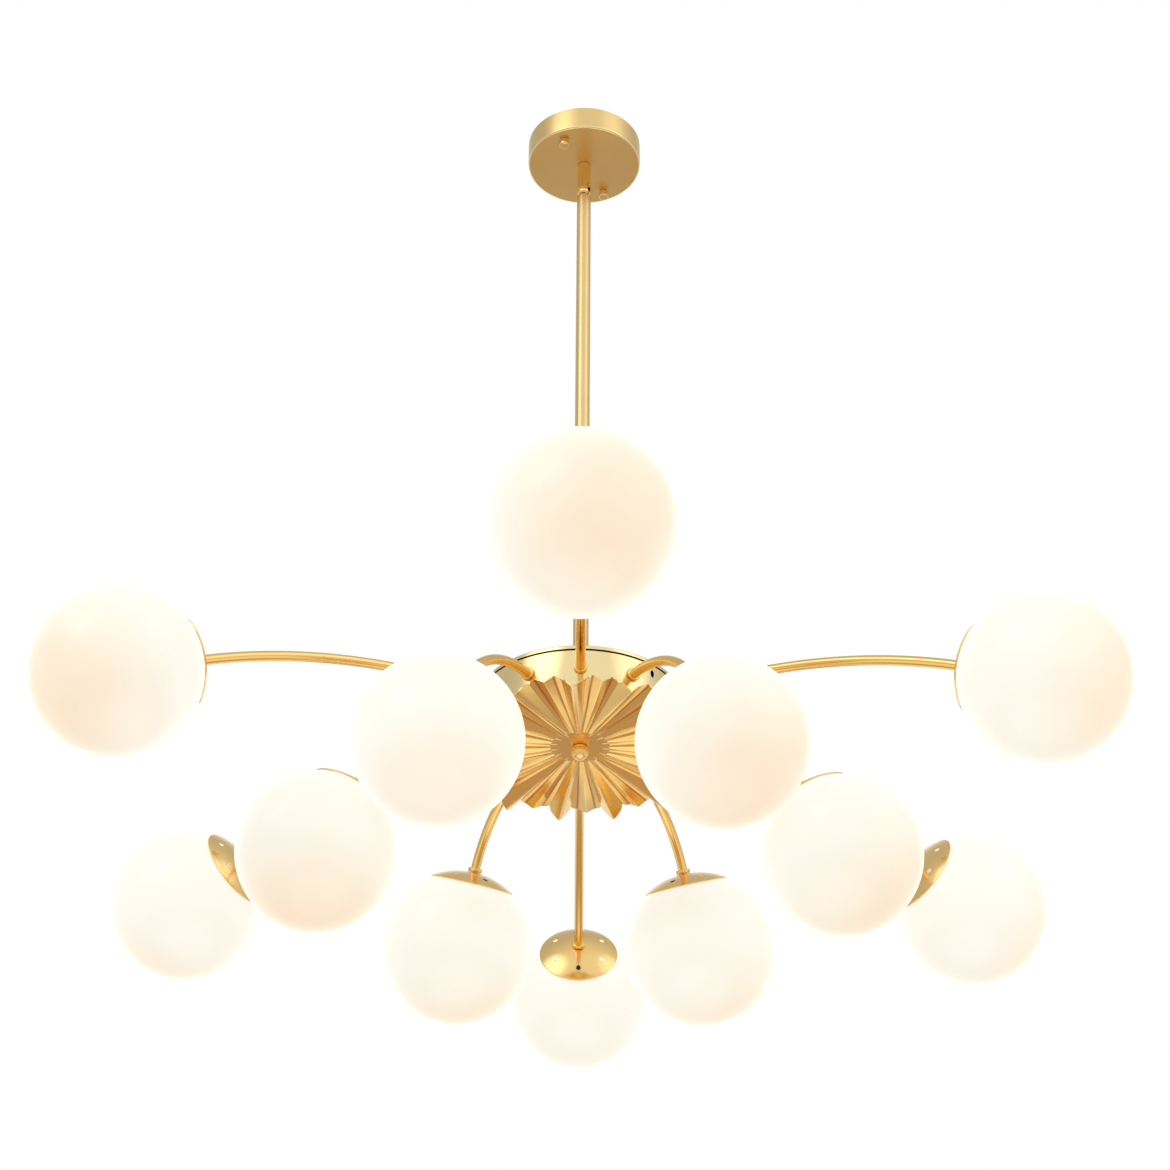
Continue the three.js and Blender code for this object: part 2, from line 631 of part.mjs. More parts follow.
// Arm: the bent tube, with a collar and a nut on both sides of the drum's wall, and a collar and a
// threaded end for the cup
function armGeometry(arm) {
  const circle = new THREE.Shape(Array.from({ length: TUBE_SIDES }, (_, i) => {
    const angle = (i + 1 / 2) * 2 * Math.PI / TUBE_SIDES;
    return new THREE.Vector2(ARM_RADIUS * Math.cos(angle), ARM_RADIUS * Math.sin(angle));
  }));
  const line = new ArmLine(arm.straight, arm.bendRadius, arm.bendDeg);
  const tube = new THREE.ExtrudeGeometry(circle, { steps: BEND_STEPS, extrudePath: line });
  const wallInside = DRUM_RADIUS - DRUM_WALL;
  const nutFace = wallInside - SEAT_GAP - DRUM_WALL;
  const root = turned([
    [0, nutFace - ARM_NUT_LENGTH],
    [ARM_NUT_RADIUS, nutFace - ARM_NUT_LENGTH],
    [ARM_NUT_RADIUS, nutFace],
    [ARM_SPIGOT_RADIUS, nutFace],
    [ARM_SPIGOT_RADIUS, armStart],
    [ARM_ROOT_COLLAR_RADIUS, armStart],
    [ARM_ROOT_COLLAR_RADIUS, armStart + ARM_ROOT_COLLAR_LENGTH],
    [0, armStart + ARM_ROOT_COLLAR_LENGTH],
  ], TUBE_SIDES).rotateY(Math.PI / 2);
  const end = turned([
    [0, -SEAT_GAP],
    [ARM_END_COLLAR_RADIUS, -SEAT_GAP],
    [ARM_END_COLLAR_RADIUS, ARM_END_COLLAR_LENGTH],
    [ARM_SPIGOT_RADIUS, ARM_END_COLLAR_LENGTH],
    [ARM_SPIGOT_RADIUS, spigotEnd],
    [0, spigotEnd],
  ], TUBE_SIDES).applyMatrix4(headMatrix(arm));
  return joined(tube, root, end);
}

// Cup: a dome that follows the glass, a threaded ring inside the glass's mouth, and six vents
function cupGeometry() {
  const rimDeg = sideDeg(CUP_RIM_RADIUS, cupRadius + CUP_WALL);
  const bore = holeRadius(ARM_SPIGOT_RADIUS, HEAD_SIDES);
  const onDome = (radius, domeRadius) => [radius, globeCentre - Math.sqrt(domeRadius ** 2 - radius ** 2)];
  const ringOuter = MOUTH_RADIUS - CUP_GAP;
  const ringInner = ringOuter - CUP_RING_WALL;
  const glassEdge = globeCentre - Math.sqrt((GLOBE_RADIUS - GLASS_WALL) ** 2 - MOUTH_RADIUS ** 2);
  const ringEnd = glassEdge + CUP_RING_REACH;
  const dome = turned([
    onDome(bore, cupRadius + CUP_WALL),
    ...arc(0, globeCentre, cupRadius + CUP_WALL, -(90 + rimDeg) / 2, -rimDeg, 1),
    onDome(CUP_RIM_RADIUS - CUP_WALL, cupRadius),
    onDome(ringOuter, cupRadius),
    [ringOuter, ringEnd],
    [ringInner, ringEnd],
    onDome(ringInner, cupRadius),
    onDome(HOLDER_RADIUS, cupRadius),
    onDome(bore, cupRadius),
  ], HEAD_SIDES);
  const ventTop = globeCentre - cupRadius - CUP_WALL;
  const vents = Array.from({ length: VENTS }, (_, i) => bar(
    VENT_RADIUS,
    ventTop,
    ringEnd,
    HEX_SIDES,
  ).translate(VENT_CIRCLE_RADIUS, 0, 0).rotateZ(i * 2 * Math.PI / VENTS));
  return cut(dome, ...vents);
}

// Lamp: the holder on the arm's end, with its capsule bulb
function lampGeometry() {
  const bore = holeRadius(ARM_SPIGOT_RADIUS, TUBE_SIDES);
  const holderEnd = holderTop + HOLDER_LENGTH;
  const capsuleStart = holderEnd + BULB_BASE_LENGTH;
  const capsuleEnd = capsuleStart + BULB_LENGTH;
  return turned([
    [0, holderTop + HOLDER_BORE_DEPTH],
    [bore, holderTop + HOLDER_BORE_DEPTH],
    [bore, holderTop],
    [HOLDER_RADIUS, holderTop],
    [HOLDER_RADIUS, holderEnd],
    [BULB_BASE_RADIUS, holderEnd],
    [BULB_BASE_RADIUS, capsuleStart],
    [BULB_RADIUS, capsuleStart + BULB_RADIUS - BULB_BASE_RADIUS],
    [BULB_RADIUS, capsuleEnd - BULB_RADIUS / 2],
    [BULB_RADIUS * BULB_TIP_SHARE, capsuleEnd],
    [0, capsuleEnd],
  ], TUBE_SIDES);
}

// Globe: a glass ball with a round mouth around the cup's threaded ring
function globeGeometry() {
  const innerRadius = GLOBE_RADIUS - GLASS_WALL;
  const outerDeg = -sideDeg(MOUTH_RADIUS, GLOBE_RADIUS);
  const innerDeg = -sideDeg(MOUTH_RADIUS, innerRadius);
  const outer = arc(0, globeCentre, GLOBE_RADIUS, outerDeg, 90, GLOBE_OUTER_RINGS);
  const inner = arc(0, globeCentre, innerRadius, 90, innerDeg, GLOBE_INNER_RINGS);
  outer[outer.length - 1][0] = 0;
  inner[0][0] = 0;
  return turned([...inner, ...outer], HEAD_SIDES);
}

// Ceiling pieces
const bracketFrame = outwardFrame(BRACKET_AZIMUTH_DEG, 0);
addPiece(bracketFrame, 'ceiling_bracket', bracketGeometry(), zincSteel());
addPiece(bracketFrame, 'terminal_block', terminalGeometry(), creamPlastic());
addPiece(bracketFrame, 'canopy', canopyGeometry(), satinGold());
addPiece(bracketFrame, 'canopy_nut_front', capNutGeometry().translate(studPlace, 0, 0), paleGold());
addPiece(bracketFrame, 'canopy_nut_back', capNutGeometry().translate(-studPlace, 0, 0), paleGold());

// Ball joint and rod
addPiece(outwardFrame(SLOT_AZIMUTH_DEG, 0), 'swivel_socket', socketGeometry(), satinGold());
addPiece(chandelier, 'down_rod', rodGeometry(), satinGold());

// Drum and starburst
addPiece(chandelier, 'drum_body', drumGeometry(), paleGold());
addPiece(chandelier, 'drum_lid', lidGeometry(), paleGold());
addPiece(chandelier, 'tie_rod', tieRodGeometry(), zincSteel());
addPiece(chandelier, 'starburst_plate', plateGeometry(), deepGold());
addPiece(chandelier, 'finial', finialGeometry(), deepGold());

// Arms with their lamp heads
armKinds.forEach((arm) => {
  for (let i = 0; i < ARMS_OF_A_KIND; i += 1) {
    const frame = outwardFrame(arm.firstAzimuthDeg + i * 360 / ARMS_OF_A_KIND, armLevel);
    const head = new THREE.Group();
    head.applyMatrix4(headMatrix(arm));
    frame.add(head);
    const place = `${arm.kind}_${i + 1}`;
    addPiece(frame, `arm_${place}`, armGeometry(arm), deepGold());
    addPiece(head, `cup_${place}`, cupGeometry(), satinGold());
    addPiece(head, `lamp_${place}`, lampGeometry(), whiteCeramic());
    addPiece(head, `globe_${place}`, globeGeometry(), opalGlass());
  }
});

export default chandelier;
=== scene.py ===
"""Multi arm ceiling chandelier: twelve lit opal globes on curved gold arms round a drum.

Metres, +Z up, with the origin on the ceiling above the rod. Azimuth 0 points along -Y, towards the
camera, and grows towards +X. The sections follow the lamp as it is put together, from the ceiling
down.
"""

import math

import bpy
from mathutils import Matrix, Vector


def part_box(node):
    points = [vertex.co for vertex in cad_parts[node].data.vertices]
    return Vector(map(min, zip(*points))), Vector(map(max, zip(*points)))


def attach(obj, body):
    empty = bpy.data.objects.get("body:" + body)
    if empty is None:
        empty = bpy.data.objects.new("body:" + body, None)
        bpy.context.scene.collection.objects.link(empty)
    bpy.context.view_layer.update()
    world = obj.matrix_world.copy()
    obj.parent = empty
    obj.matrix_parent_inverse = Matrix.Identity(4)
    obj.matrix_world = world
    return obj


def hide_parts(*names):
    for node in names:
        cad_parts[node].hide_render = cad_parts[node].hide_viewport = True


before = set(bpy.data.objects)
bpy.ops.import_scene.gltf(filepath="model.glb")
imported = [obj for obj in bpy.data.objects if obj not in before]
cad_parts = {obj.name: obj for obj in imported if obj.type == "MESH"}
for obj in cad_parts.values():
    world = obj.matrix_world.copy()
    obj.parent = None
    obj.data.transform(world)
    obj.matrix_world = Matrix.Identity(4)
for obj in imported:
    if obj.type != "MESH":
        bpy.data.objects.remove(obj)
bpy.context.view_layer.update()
MM = 0.001

# Camera: it stands two metres in front of the rod and well below the globes, and looks up at them
# through a long lens. The sizes in pixels are those of the photograph.
PHOTO_SIDE_PX = 1170
PHOTO_FOCAL_PX = 2457.06
PHOTO_AXIS_PX = 581.14
SENSOR_MM = 36
CAMERA_PLACE = Vector((0, -2.0364, -1.9094))
CAMERA_PITCH_DEG = 33.05
CAMERA_ROLL_DEG = 0.41
CAMERA_REACH = 100

camera_data = bpy.data.cameras.new("photo_camera")
camera_data.sensor_width = SENSOR_MM
camera_data.lens = SENSOR_MM * PHOTO_FOCAL_PX / PHOTO_SIDE_PX
camera_data.shift_x = (PHOTO_SIDE_PX / 2 - PHOTO_AXIS_PX) / PHOTO_SIDE_PX
camera_data.clip_end = CAMERA_REACH
camera = bpy.data.objects.new("photo_camera", camera_data)
pitch = Matrix.Rotation(math.radians(90 + CAMERA_PITCH_DEG), 4, "X")
roll = Matrix.Rotation(math.radians(CAMERA_ROLL_DEG), 4, "Z")
camera.matrix_world = Matrix.Translation(CAMERA_PLACE) @ pitch @ roll
bpy.context.scene.collection.objects.link(camera)
bpy.context.scene.camera = camera
bpy.context.scene.view_settings.view_transform = "Standard"

# Studio light: a pale room lights the lamp evenly from all round, and two large soft lamps model it
# from the upper left and the right. The camera sees the room as white. The metals see it bright in
# front and behind the lamp, brightest at two windows in front, and dimmer to the sides.
ROOM_LIGHT = 0.7
GLOSS_SIDES = 0.57
GLOSS_FRONT = 0.94
GLOSS_BACKDROP = 0.98
FRONT_HEADING = Vector((0.3, -0.95, 0))
# Each window's heading and how bright it shines in the metals
WINDOWS = ((Vector((-0.58, -0.6, 0.54)), 1.2), (Vector((0.72, -0.42, 0.55)), 0.5))
# Between which levels the light rises, as a reflection turns towards the front, the backdrop or a
# window: 1 is straight at it, 0 is square to it.
FRONT_SPREAD = (-0.3, 0.8)
BACKDROP_SPREAD = (0.45, 0.9)
WINDOW_SPREAD = (0.91, 0.998)
KEY_SIZE = 1.7
KEY_WATTS = 36
KEY_PLACE = Vector((-2.4, -3, 0.9))
FILL_SIZE = 1.6
FILL_WATTS = 14
FILL_PLACE = Vector((2.4, -1.8, -0.6))
LAMP_TARGET = Vector((0, 0, -0.75))


class Amount:
    """A number or colour inside a tree of nodes. Sums and products on it add the Math nodes."""

    def __init__(self, board, socket):
        self.board = board
        self.socket = socket

    def maths(self, operation, other):
        return self.board.node("Math", {"operation": operation}, {0: self, 1: other})

    def __add__(self, other):
        return self.maths("ADD", other)

    def __sub__(self, other):
        return self.maths("SUBTRACT", other)

    def __mul__(self, other):
        return self.maths("MULTIPLY", other)

    __radd__ = __add__
    __rmul__ = __mul__


class Board:
    """A tree of nodes, for the room or for a material."""

    def __init__(self, tree):
        self.tree = tree

    def node(self, kind, settings=None, inputs=None, output=0):
        """Adds a node, sets it up, fills its sockets with values or links, and gives an output."""
        made = self.tree.nodes.new("ShaderNode" + kind)
        for key, value in (settings or {}).items():
            if key == "stops":
                self.set_stops(made.color_ramp, value)
            else:
                setattr(made, key, value)
        for key, value in (inputs or {}).items():
            if isinstance(value, Amount):
                self.tree.links.new(value.socket, made.inputs[key])
            else:
                made.inputs[key].default_value = value
        return Amount(self, made.outputs[output])

    def set_stops(self, ramp, stops):
        while len(ramp.elements) < len(stops):
            ramp.elements.new(1)
        for element, (place, colour) in zip(ramp.elements, stops):
            element.position = place
            element.color = colour

    def ramp(self, amount, from_low, from_high, low, high):
        """A smooth change from one level to another while an amount goes between two values."""
        ends = {"From Min": from_low, "From Max": from_high, "To Min": low, "To Max": high}
        return self.node("MapRange", {"interpolation_type": "SMOOTHSTEP"}, {"Value": amount, **ends})

    def along(self, heading, direction):
        """How far a heading goes along a direction: their dot product."""
        inputs = {0: heading, 1: direction}
        return self.node("VectorMath", {"operation": "DOT_PRODUCT"}, inputs, output="Value")


studio = bpy.data.worlds.new("studio")
bpy.context.scene.world = studio
studio.use_nodes = True
room = Board(studio.node_tree)
heading = room.node("TexCoord", output="Generated")
forwards = room.along(heading, FRONT_HEADING)
backwards = room.node("SeparateXYZ", inputs={"Vector": heading}, output="Y")
front = room.ramp(forwards, *FRONT_SPREAD, GLOSS_SIDES, GLOSS_FRONT)
backdrop = room.ramp(backwards, *BACKDROP_SPREAD, GLOSS_SIDES, GLOSS_BACKDROP)
gloss_light = front.maths("MAXIMUM", backdrop)
for window_heading, shine in WINDOWS:
    window = room.along(heading, window_heading)
    gloss_light = gloss_light + room.ramp(window, *WINDOW_SPREAD, 0, shine)
seen_straight = room.node("LightPath", output="Is Camera Ray")
seen_through = room.node("LightPath", output="Is Transmission Ray")
seen = seen_straight + seen_through
mirrored = room.node("LightPath", output="Is Glossy Ray")
room_strength = ROOM_LIGHT + (1 - ROOM_LIGHT) * seen + mirrored * (gloss_light - ROOM_LIGHT)
room_walls = studio.node_tree.nodes["Background"]
room_walls.inputs["Color"].default_value = (1, 1, 1, 1)
studio.node_tree.links.new(room_strength.socket, room_walls.inputs["Strength"])


def hang_soft_lamp(name, place, size, watts):
    lamp_data = bpy.data.lights.new(name, "AREA")
    lamp_data.shape = "DISK"
    lamp_data.size = size
    lamp_data.energy = watts
    lamp = bpy.data.objects.new(name, lamp_data)
    lamp.location = place
    lamp.rotation_euler = (LAMP_TARGET - place).to_track_quat("-Z", "Y").to_euler()
    lamp.visible_camera = False
    lamp.visible_glossy = False
    bpy.context.scene.collection.objects.link(lamp)


hang_soft_lamp("key_lamp", KEY_PLACE, KEY_SIZE, KEY_WATTS)
hang_soft_lamp("fill_lamp", FILL_PLACE, FILL_SIZE, FILL_WATTS)


class Finish(Board):
    """A material for one or more pieces: a metal, glass or plastic with its nodes."""

    def __init__(self, name, **constants):
        self.material = bpy.data.materials.new(name)
        self.material.use_nodes = True
        super().__init__(self.material.node_tree)
        self.shader = self.tree.nodes["Principled BSDF"]
        for socket, value in constants.items():
            self.shader.inputs[socket.replace("_", " ")].default_value = value

    def feed(self, socket, amount):
        self.tree.links.new(amount.socket, self.shader.inputs[socket])

    def fed(self, socket):
        """What a socket of the shader gets so far, to build on."""
        return Amount(self, self.shader.inputs[socket].links[0].from_socket)

    def place(self, scale=(1, 1, 1), centre=(0, 0, 0)):
        """Object coordinates, counted from a centre and stretched."""
        here = self.node("TexCoord", output="Object")
        shift = [-c * s for c, s in zip(centre, scale)]
        return self.node("Mapping", inputs={"Vector": here, "Location": shift, "Scale": scale})

    def noise(self, where, scale, detail=3.0, roughness=0.5):
        inputs = {"Vector": where, "Scale": scale, "Detail": detail, "Roughness": roughness}
        return self.node("TexNoise", inputs=inputs)

    def blend(self, share, first, second):
        """A colour that goes from the first to the second as the share goes from 0 to 1."""
        inputs = {0: share, 6: first, 7: second}
        return self.node("Mix", {"data_type": "RGBA"}, inputs, output=2)

    def mottle(self, scale, dark, light, roughness, spread, detail=3.0):
        """A cloud over the whole piece that shifts its colour between two tones, and its gloss."""
        cloud = self.noise(self.place(), scale, detail)
        self.feed("Base Color", self.blend(cloud, dark, light))
        self.feed("Roughness", roughness + spread * cloud)

    def bump(self, height, depth, strength):
        inputs = {"Height": height, "Distance": depth, "Strength": strength}
        self.feed("Normal", self.node("Bump", inputs=inputs))


def srgb(red, green, blue):
    """A colour written as it shows on a screen, 0 to 255, in the renderer's linear terms."""
    def linear(value):
        share = value / 255
        return share / 12.92 if share <= 0.04045 else ((share + 0.055) / 1.055) ** 2.4
    return (linear(red), linear(green), linear(blue), 1)


# Floor: a plain pale studio floor far below the lamp, which fades into the white room far away. The
# metals see a warmer ring in it round a bright pool, as a duller tone on all that faces down: painted
# shade in the ring and a painted pool of light, which only reflections see.
FLOOR_LEVEL = -2.6
FLOOR_SIDE = 40
FLOOR_SHINE = 0.34
# Where the pool ends, where the warm ring ends and where the floor fades away, each from one
# distance from the middle to another
FLOOR_POOL = (0.9, 1.6)
FLOOR_WHITE = (3.4, 5.5)
FLOOR_FADE = (2.5, 11)

bpy.ops.mesh.primitive_plane_add(size=FLOOR_SIDE, location=(0, 0, FLOOR_LEVEL))
studio_floor = bpy.context.object
studio_floor.name = "studio_floor"
floor_paint = Finish("floor_paint", Roughness=0.8, Emission_Strength=FLOOR_SHINE)
floor_mottle = floor_paint.noise(floor_paint.place(), scale=1.5)
floor_warm = floor_paint.blend(floor_mottle, srgb(216, 188, 166), srgb(210, 182, 160))
floor_reach = floor_paint.node(
    "VectorMath", {"operation": "LENGTH"}, {0: floor_paint.place()}, output="Value"
)
floor_pool = floor_paint.ramp(floor_reach, *FLOOR_POOL, 1, 0)
floor_far = floor_paint.ramp(floor_reach, *FLOOR_WHITE, 0, 1)
floor_seen = floor_paint.node("LightPath", output="Is Camera Ray")
floor_mirrored = floor_paint.node("LightPath", output="Is Glossy Ray")
floor_pale = floor_pool + floor_far + floor_seen
floor_paint.feed("Base Color", floor_paint.blend(floor_pale, floor_warm, srgb(252, 250, 246)))
floor_fade = floor_paint.ramp(floor_reach, *FLOOR_FADE, 0, 1)
# The pool glows only for reflections, a painted pool of light; far off, the floor glows white for the
# camera.
floor_glow = floor_pool * floor_mirrored + floor_fade * floor_seen
floor_paint.feed("Emission Color", floor_paint.blend(floor_glow, srgb(0, 0, 0), srgb(255, 252, 247)))
studio_floor.data.materials.append(floor_paint.material)

# Ceiling bracket: a zinc-plated steel bar, punched with two slots for the ceiling screws. Two studs
# pressed into it carry the canopy, which hides it from below, so its plain solid stays.
zinc = Finish("zinc_plate", Metallic=1)
zinc.mottle(
    scale=220, dark=srgb(168, 172, 178), light=srgb(206, 208, 210), roughness=0.34, spread=0.2, detail=4
)
zinc.bump(zinc.noise(zinc.place(), scale=1400), depth=0.02 * MM, strength=0.5)


def refinish(node, finish):
    """Gives a CAD node that stays in view its finished material."""
    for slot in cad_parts[node].material_slots:
        slot.material = finish.material


refinish("ceiling_bracket", zinc)

# Terminal block: a cream plastic block with clamp screws for the supply wires, fixed below the
# bracket. The canopy hides it too, so its plain solid stays as well.
terminal_plastic = Finish("terminal_plastic")
terminal_plastic.mottle(
    scale=500, dark=srgb(226, 220, 200), light=srgb(238, 233, 216), roughness=0.5, spread=0.15
)
refinish("terminal_block", terminal_plastic)

# Canopy: a cap spun from sheet brass, blasted to a satin and plated gold. Its rolled lower edge
# carries a thin bright line all the way round: a painted highlight, a paler and glossier gold on the
# edge's faces.
CANOPY_RADIUS = 62 * MM
CANOPY_HEIGHT = 28.5 * MM
CANOPY_WALL = 1.2 * MM
CANOPY_EDGE_ROUND = 2 * MM
CANOPY_BORE = 5.4 * MM
LATHE_STEPS = 128
MERGE_DISTANCE = 0.002 * MM
SMOOTH_ANGLE_DEG = 32
GRAIN_DEPTH = 0.012 * MM
GRAIN_SPREAD = 0.1
# Which of a piece's materials its painted highlight or painted shade gets: the second
PAINTED_LIGHT_SLOT = 1


def round_corner(centre_radius, centre_level, radius, from_deg, to_deg, steps=5):
    """Points of a round stretch of a turned profile, as (radius, level) pairs."""
    points = []
    for i in range(steps + 1):
        angle = math.radians(from_deg + (to_deg - from_deg) * i / steps)
        points.append((
            centre_radius + radius * math.cos(angle),
            centre_level + radius * math.sin(angle),
        ))
    return points


def pick(*pieces):
    """Selects some pieces alone, with the last of them active."""
    bpy.ops.object.select_all(action="DESELECT")
    for piece in pieces:
        piece.select_set(True)
    bpy.context.view_layer.objects.active = pieces[-1]


def smooth(piece, angle_deg=SMOOTH_ANGLE_DEG):
    pick(piece)
    bpy.ops.object.shade_smooth_by_angle(angle=math.radians(angle_deg))


def turn_on_lathe(name, profile, closed, steps=LATHE_STEPS):
    """Draws half a section as a chain of edges and spins it round the vertical axis."""
    bpy.ops.mesh.primitive_plane_add(size=MM, location=(0, 0, 0))
    piece = bpy.context.object
    piece.name = name
    points = list(profile) + ([profile[0]] if closed else [])
    bpy.ops.object.mode_set(mode="EDIT")
    bpy.ops.mesh.merge(type="CENTER")
    bpy.ops.transform.translate(value=(points[0][0], 0, points[0][1]))
    for (radius, level), (next_radius, next_level) in zip(points, points[1:]):
        step = (next_radius - radius, 0, next_level - level)
        bpy.ops.mesh.extrude_region_move(TRANSFORM_OT_translate={"value": step})
    bpy.ops.mesh.select_all(action="SELECT")
    bpy.ops.mesh.spin(steps=steps, angle=2 * math.pi, center=(0, 0, 0), axis=(0, 0, 1))
    bpy.ops.mesh.select_all(action="SELECT")
    bpy.ops.mesh.remove_doubles(threshold=MERGE_DISTANCE)
    bpy.ops.mesh.normals_make_consistent(inside=False)
    bpy.ops.object.mode_set(mode="OBJECT")
    smooth(piece)
    return piece


def finished(piece, finish, body, slot, *nodes):
    """Dresses a new piece, hangs it on its body and puts it in its CAD nodes' place."""
    piece.data.materials.append(finish.material)
    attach(piece, body)
    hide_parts(*nodes)


def gold(name, pale, deep, roughness, grain, stretch=(1, 1, 1)):
    """Plated brass: a slow cloud of tint, fine grain in its gloss and a faint blasted surface."""
    plating = Finish(name, Metallic=1)
    cloud = plating.noise(plating.place(), scale=26, detail=2)
    plating.feed("Base Color", plating.blend(cloud, deep, pale))
    fine = plating.noise(plating.place(scale=stretch), grain, detail=4, roughness=0.6)
    plating.feed("Roughness", (roughness - GRAIN_SPREAD / 2) + GRAIN_SPREAD * fine)
    plating.bump(fine, GRAIN_DEPTH, strength=0.45)
    return plating


satin_gold = gold(
    "satin_gold", pale=srgb(235, 207, 145), deep=srgb(228, 197, 132), roughness=0.34, grain=1500
)

canopy_face = -CANOPY_HEIGHT
canopy_inner = CANOPY_RADIUS - CANOPY_WALL
canopy_floor = canopy_face + CANOPY_WALL
canopy = turn_on_lathe("gold_canopy", [
    (CANOPY_BORE, canopy_face),
    *round_corner(
        CANOPY_RADIUS - CANOPY_EDGE_ROUND, canopy_face + CANOPY_EDGE_ROUND, CANOPY_EDGE_ROUND, -90, 0
    ),
    (CANOPY_RADIUS, 0),
    (canopy_inner, 0),
    (canopy_inner, canopy_floor),
    (CANOPY_BORE, canopy_floor),
], closed=True)
finished(canopy, satin_gold, "ceiling_mount", "satin_gold", "canopy")
# The lower edge's faces take a paler gold: a painted highlight line along the rolled edge.
edge_highlight_gold = gold(
    "edge_highlight_gold", pale=srgb(254, 234, 180), deep=srgb(250, 225, 164), roughness=0.2, grain=1500
)
canopy.data.materials.append(edge_highlight_gold.material)
for polygon in canopy.data.polygons:
    low = canopy_face + MERGE_DISTANCE < polygon.center.z < canopy_face + CANOPY_EDGE_ROUND
    if low and math.hypot(polygon.center.x, polygon.center.y) > canopy_inner - CANOPY_EDGE_ROUND / 2:
        polygon.material_index = PAINTED_LIGHT_SLOT

# Cap nuts: two turned brass nuts, polished, screwed onto the bracket's studs. Each has a narrow neck
# against the canopy and a wider head with soft edges.
CAP_NECK_RADIUS = 4.1 * MM
CAP_HEAD_RADIUS = 5.5 * MM
CAP_HEAD_ROUND = 1.2 * MM
CAP_NECK_HEIGHT = 2.9 * MM
CAP_HEAD_HEIGHT = 5.7 * MM
SEAT_GAP = 0.3 * MM

nut_gold = gold(
    "nut_gold", pale=srgb(252, 228, 168), deep=srgb(247, 218, 152), roughness=0.11, grain=700
)
cap_top = canopy_face - SEAT_GAP
cap_shoulder = cap_top - CAP_NECK_HEIGHT
cap_bottom = cap_shoulder - CAP_HEAD_HEIGHT
cap_flat = CAP_HEAD_RADIUS - CAP_HEAD_ROUND
for nut_node in ("canopy_nut_front", "canopy_nut_back"):
    nut_low, nut_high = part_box(nut_node)
    cap_nut = turn_on_lathe("polished_" + nut_node, [
        (0, cap_bottom),
        *round_corner(cap_flat, cap_bottom + CAP_HEAD_ROUND, CAP_HEAD_ROUND, -90, 0, steps=4),
        *round_corner(cap_flat, cap_shoulder - CAP_HEAD_ROUND, CAP_HEAD_ROUND, 0, 90, steps=4),
        (CAP_NECK_RADIUS, cap_shoulder),
        (CAP_NECK_RADIUS, cap_top),
        (0, cap_top),
    ], closed=False, steps=40)
    nut_middle = (nut_low + nut_high) / 2
    cap_nut.data.transform(Matrix.Translation((nut_middle.x, nut_middle.y, 0)))
    finished(cap_nut, nut_gold, "ceiling_mount", "pale_gold", nut_node)

# Swivel socket: a turned tube under the canopy, held by a locknut inside it. A polished lip keeps
# the rod's ball in, and a slot up one side lets the rod's neck swing out for a sloping ceiling.
SOCKET_RADIUS = 7.1 * MM
SOCKET_LENGTH = 43.3 * MM
SOCKET_THREAD_RADIUS = 5 * MM
SOCKET_WIRE_RADIUS = 2.4 * MM
SOCKET_MOUTH_RADIUS = 3.1 * MM
LOCKNUT_RADIUS = 9 * MM
LOCKNUT_HEIGHT = 4.5 * MM
LOCKNUT_BEVEL = 0.5 * MM
THREAD_REST = 3 * MM
LIP_HEIGHT = 6.2 * MM
LIP_ROUND = 2.6 * MM
LIP_GROOVE = 0.5 * MM
BALL_RADIUS = 5 * MM
BALL_GAP = 0.4 * MM
BALL_ABOVE_LIP = 6.4 * MM
SLOT_AZIMUTH_DEG = 60
SLOT_WIDTH = 6.2 * MM
SLOT_ABOVE_BALL = 6.5 * MM
SLOT_OVERRUN = 3 * MM

socket_end = canopy_face - SOCKET_LENGTH
ball_level = socket_end + BALL_ABOVE_LIP
locknut_bottom = canopy_floor + SEAT_GAP
thread_top = locknut_bottom + LOCKNUT_HEIGHT + THREAD_REST
seat_radius = BALL_RADIUS + BALL_GAP
lip_top = socket_end + LIP_HEIGHT
swivel_socket = turn_on_lathe("turned_swivel_socket", [
    (SOCKET_WIRE_RADIUS, thread_top),
    (SOCKET_THREAD_RADIUS, thread_top),
    (SOCKET_THREAD_RADIUS, canopy_face - SEAT_GAP),
    (SOCKET_RADIUS, canopy_face - SEAT_GAP),
    (SOCKET_RADIUS, lip_top + LIP_GROOVE),
    (SOCKET_RADIUS - LIP_GROOVE, lip_top),
    (SOCKET_RADIUS, lip_top - LIP_GROOVE),
    *round_corner(SOCKET_RADIUS - LIP_ROUND, socket_end + LIP_ROUND, LIP_ROUND, 0, -90),
    (SOCKET_MOUTH_RADIUS, socket_end),
    *round_corner(
        0, ball_level, seat_radius,
        -math.degrees(math.acos(SOCKET_MOUTH_RADIUS / seat_radius)),
        math.degrees(math.acos(SOCKET_WIRE_RADIUS / seat_radius)),
        steps=14,
    ),
], closed=True, steps=72)


def modify(piece, kind, **settings):
    """Adds a modifier to a piece, sets it up and applies it."""
    pick(piece)
    bpy.ops.object.modifier_add(type=kind)
    modifier = piece.modifiers[-1]
    for key, value in settings.items():
        setattr(modifier, key, value)
    bpy.ops.object.modifier_apply(modifier=modifier.name)


def cut_away(piece, tool):
    """Cuts one solid out of a piece and throws the tool away."""
    modify(piece, "BOOLEAN", operation="DIFFERENCE", object=tool)
    bpy.data.objects.remove(tool)


def join_to(piece, *others):
    """Joins loose solids to a piece, which keeps its name."""
    pick(*others, piece)
    bpy.ops.object.join()
    return piece


def settle(piece):
    """Puts a piece's place into its mesh, so that its object sits at the origin."""
    pick(piece)
    bpy.ops.object.transform_apply(location=True, rotation=True, scale=True)
    return piece


def soft_edged(piece, width, segments=3, sharp_deg=SMOOTH_ANGLE_DEG):
    """Rounds a solid's sharp edges."""
    sharp = math.radians(sharp_deg)
    modify(piece, "BEVEL", width=width, segments=segments, limit_method="ANGLE", angle_limit=sharp)
    smooth(piece, sharp_deg)
    return piece


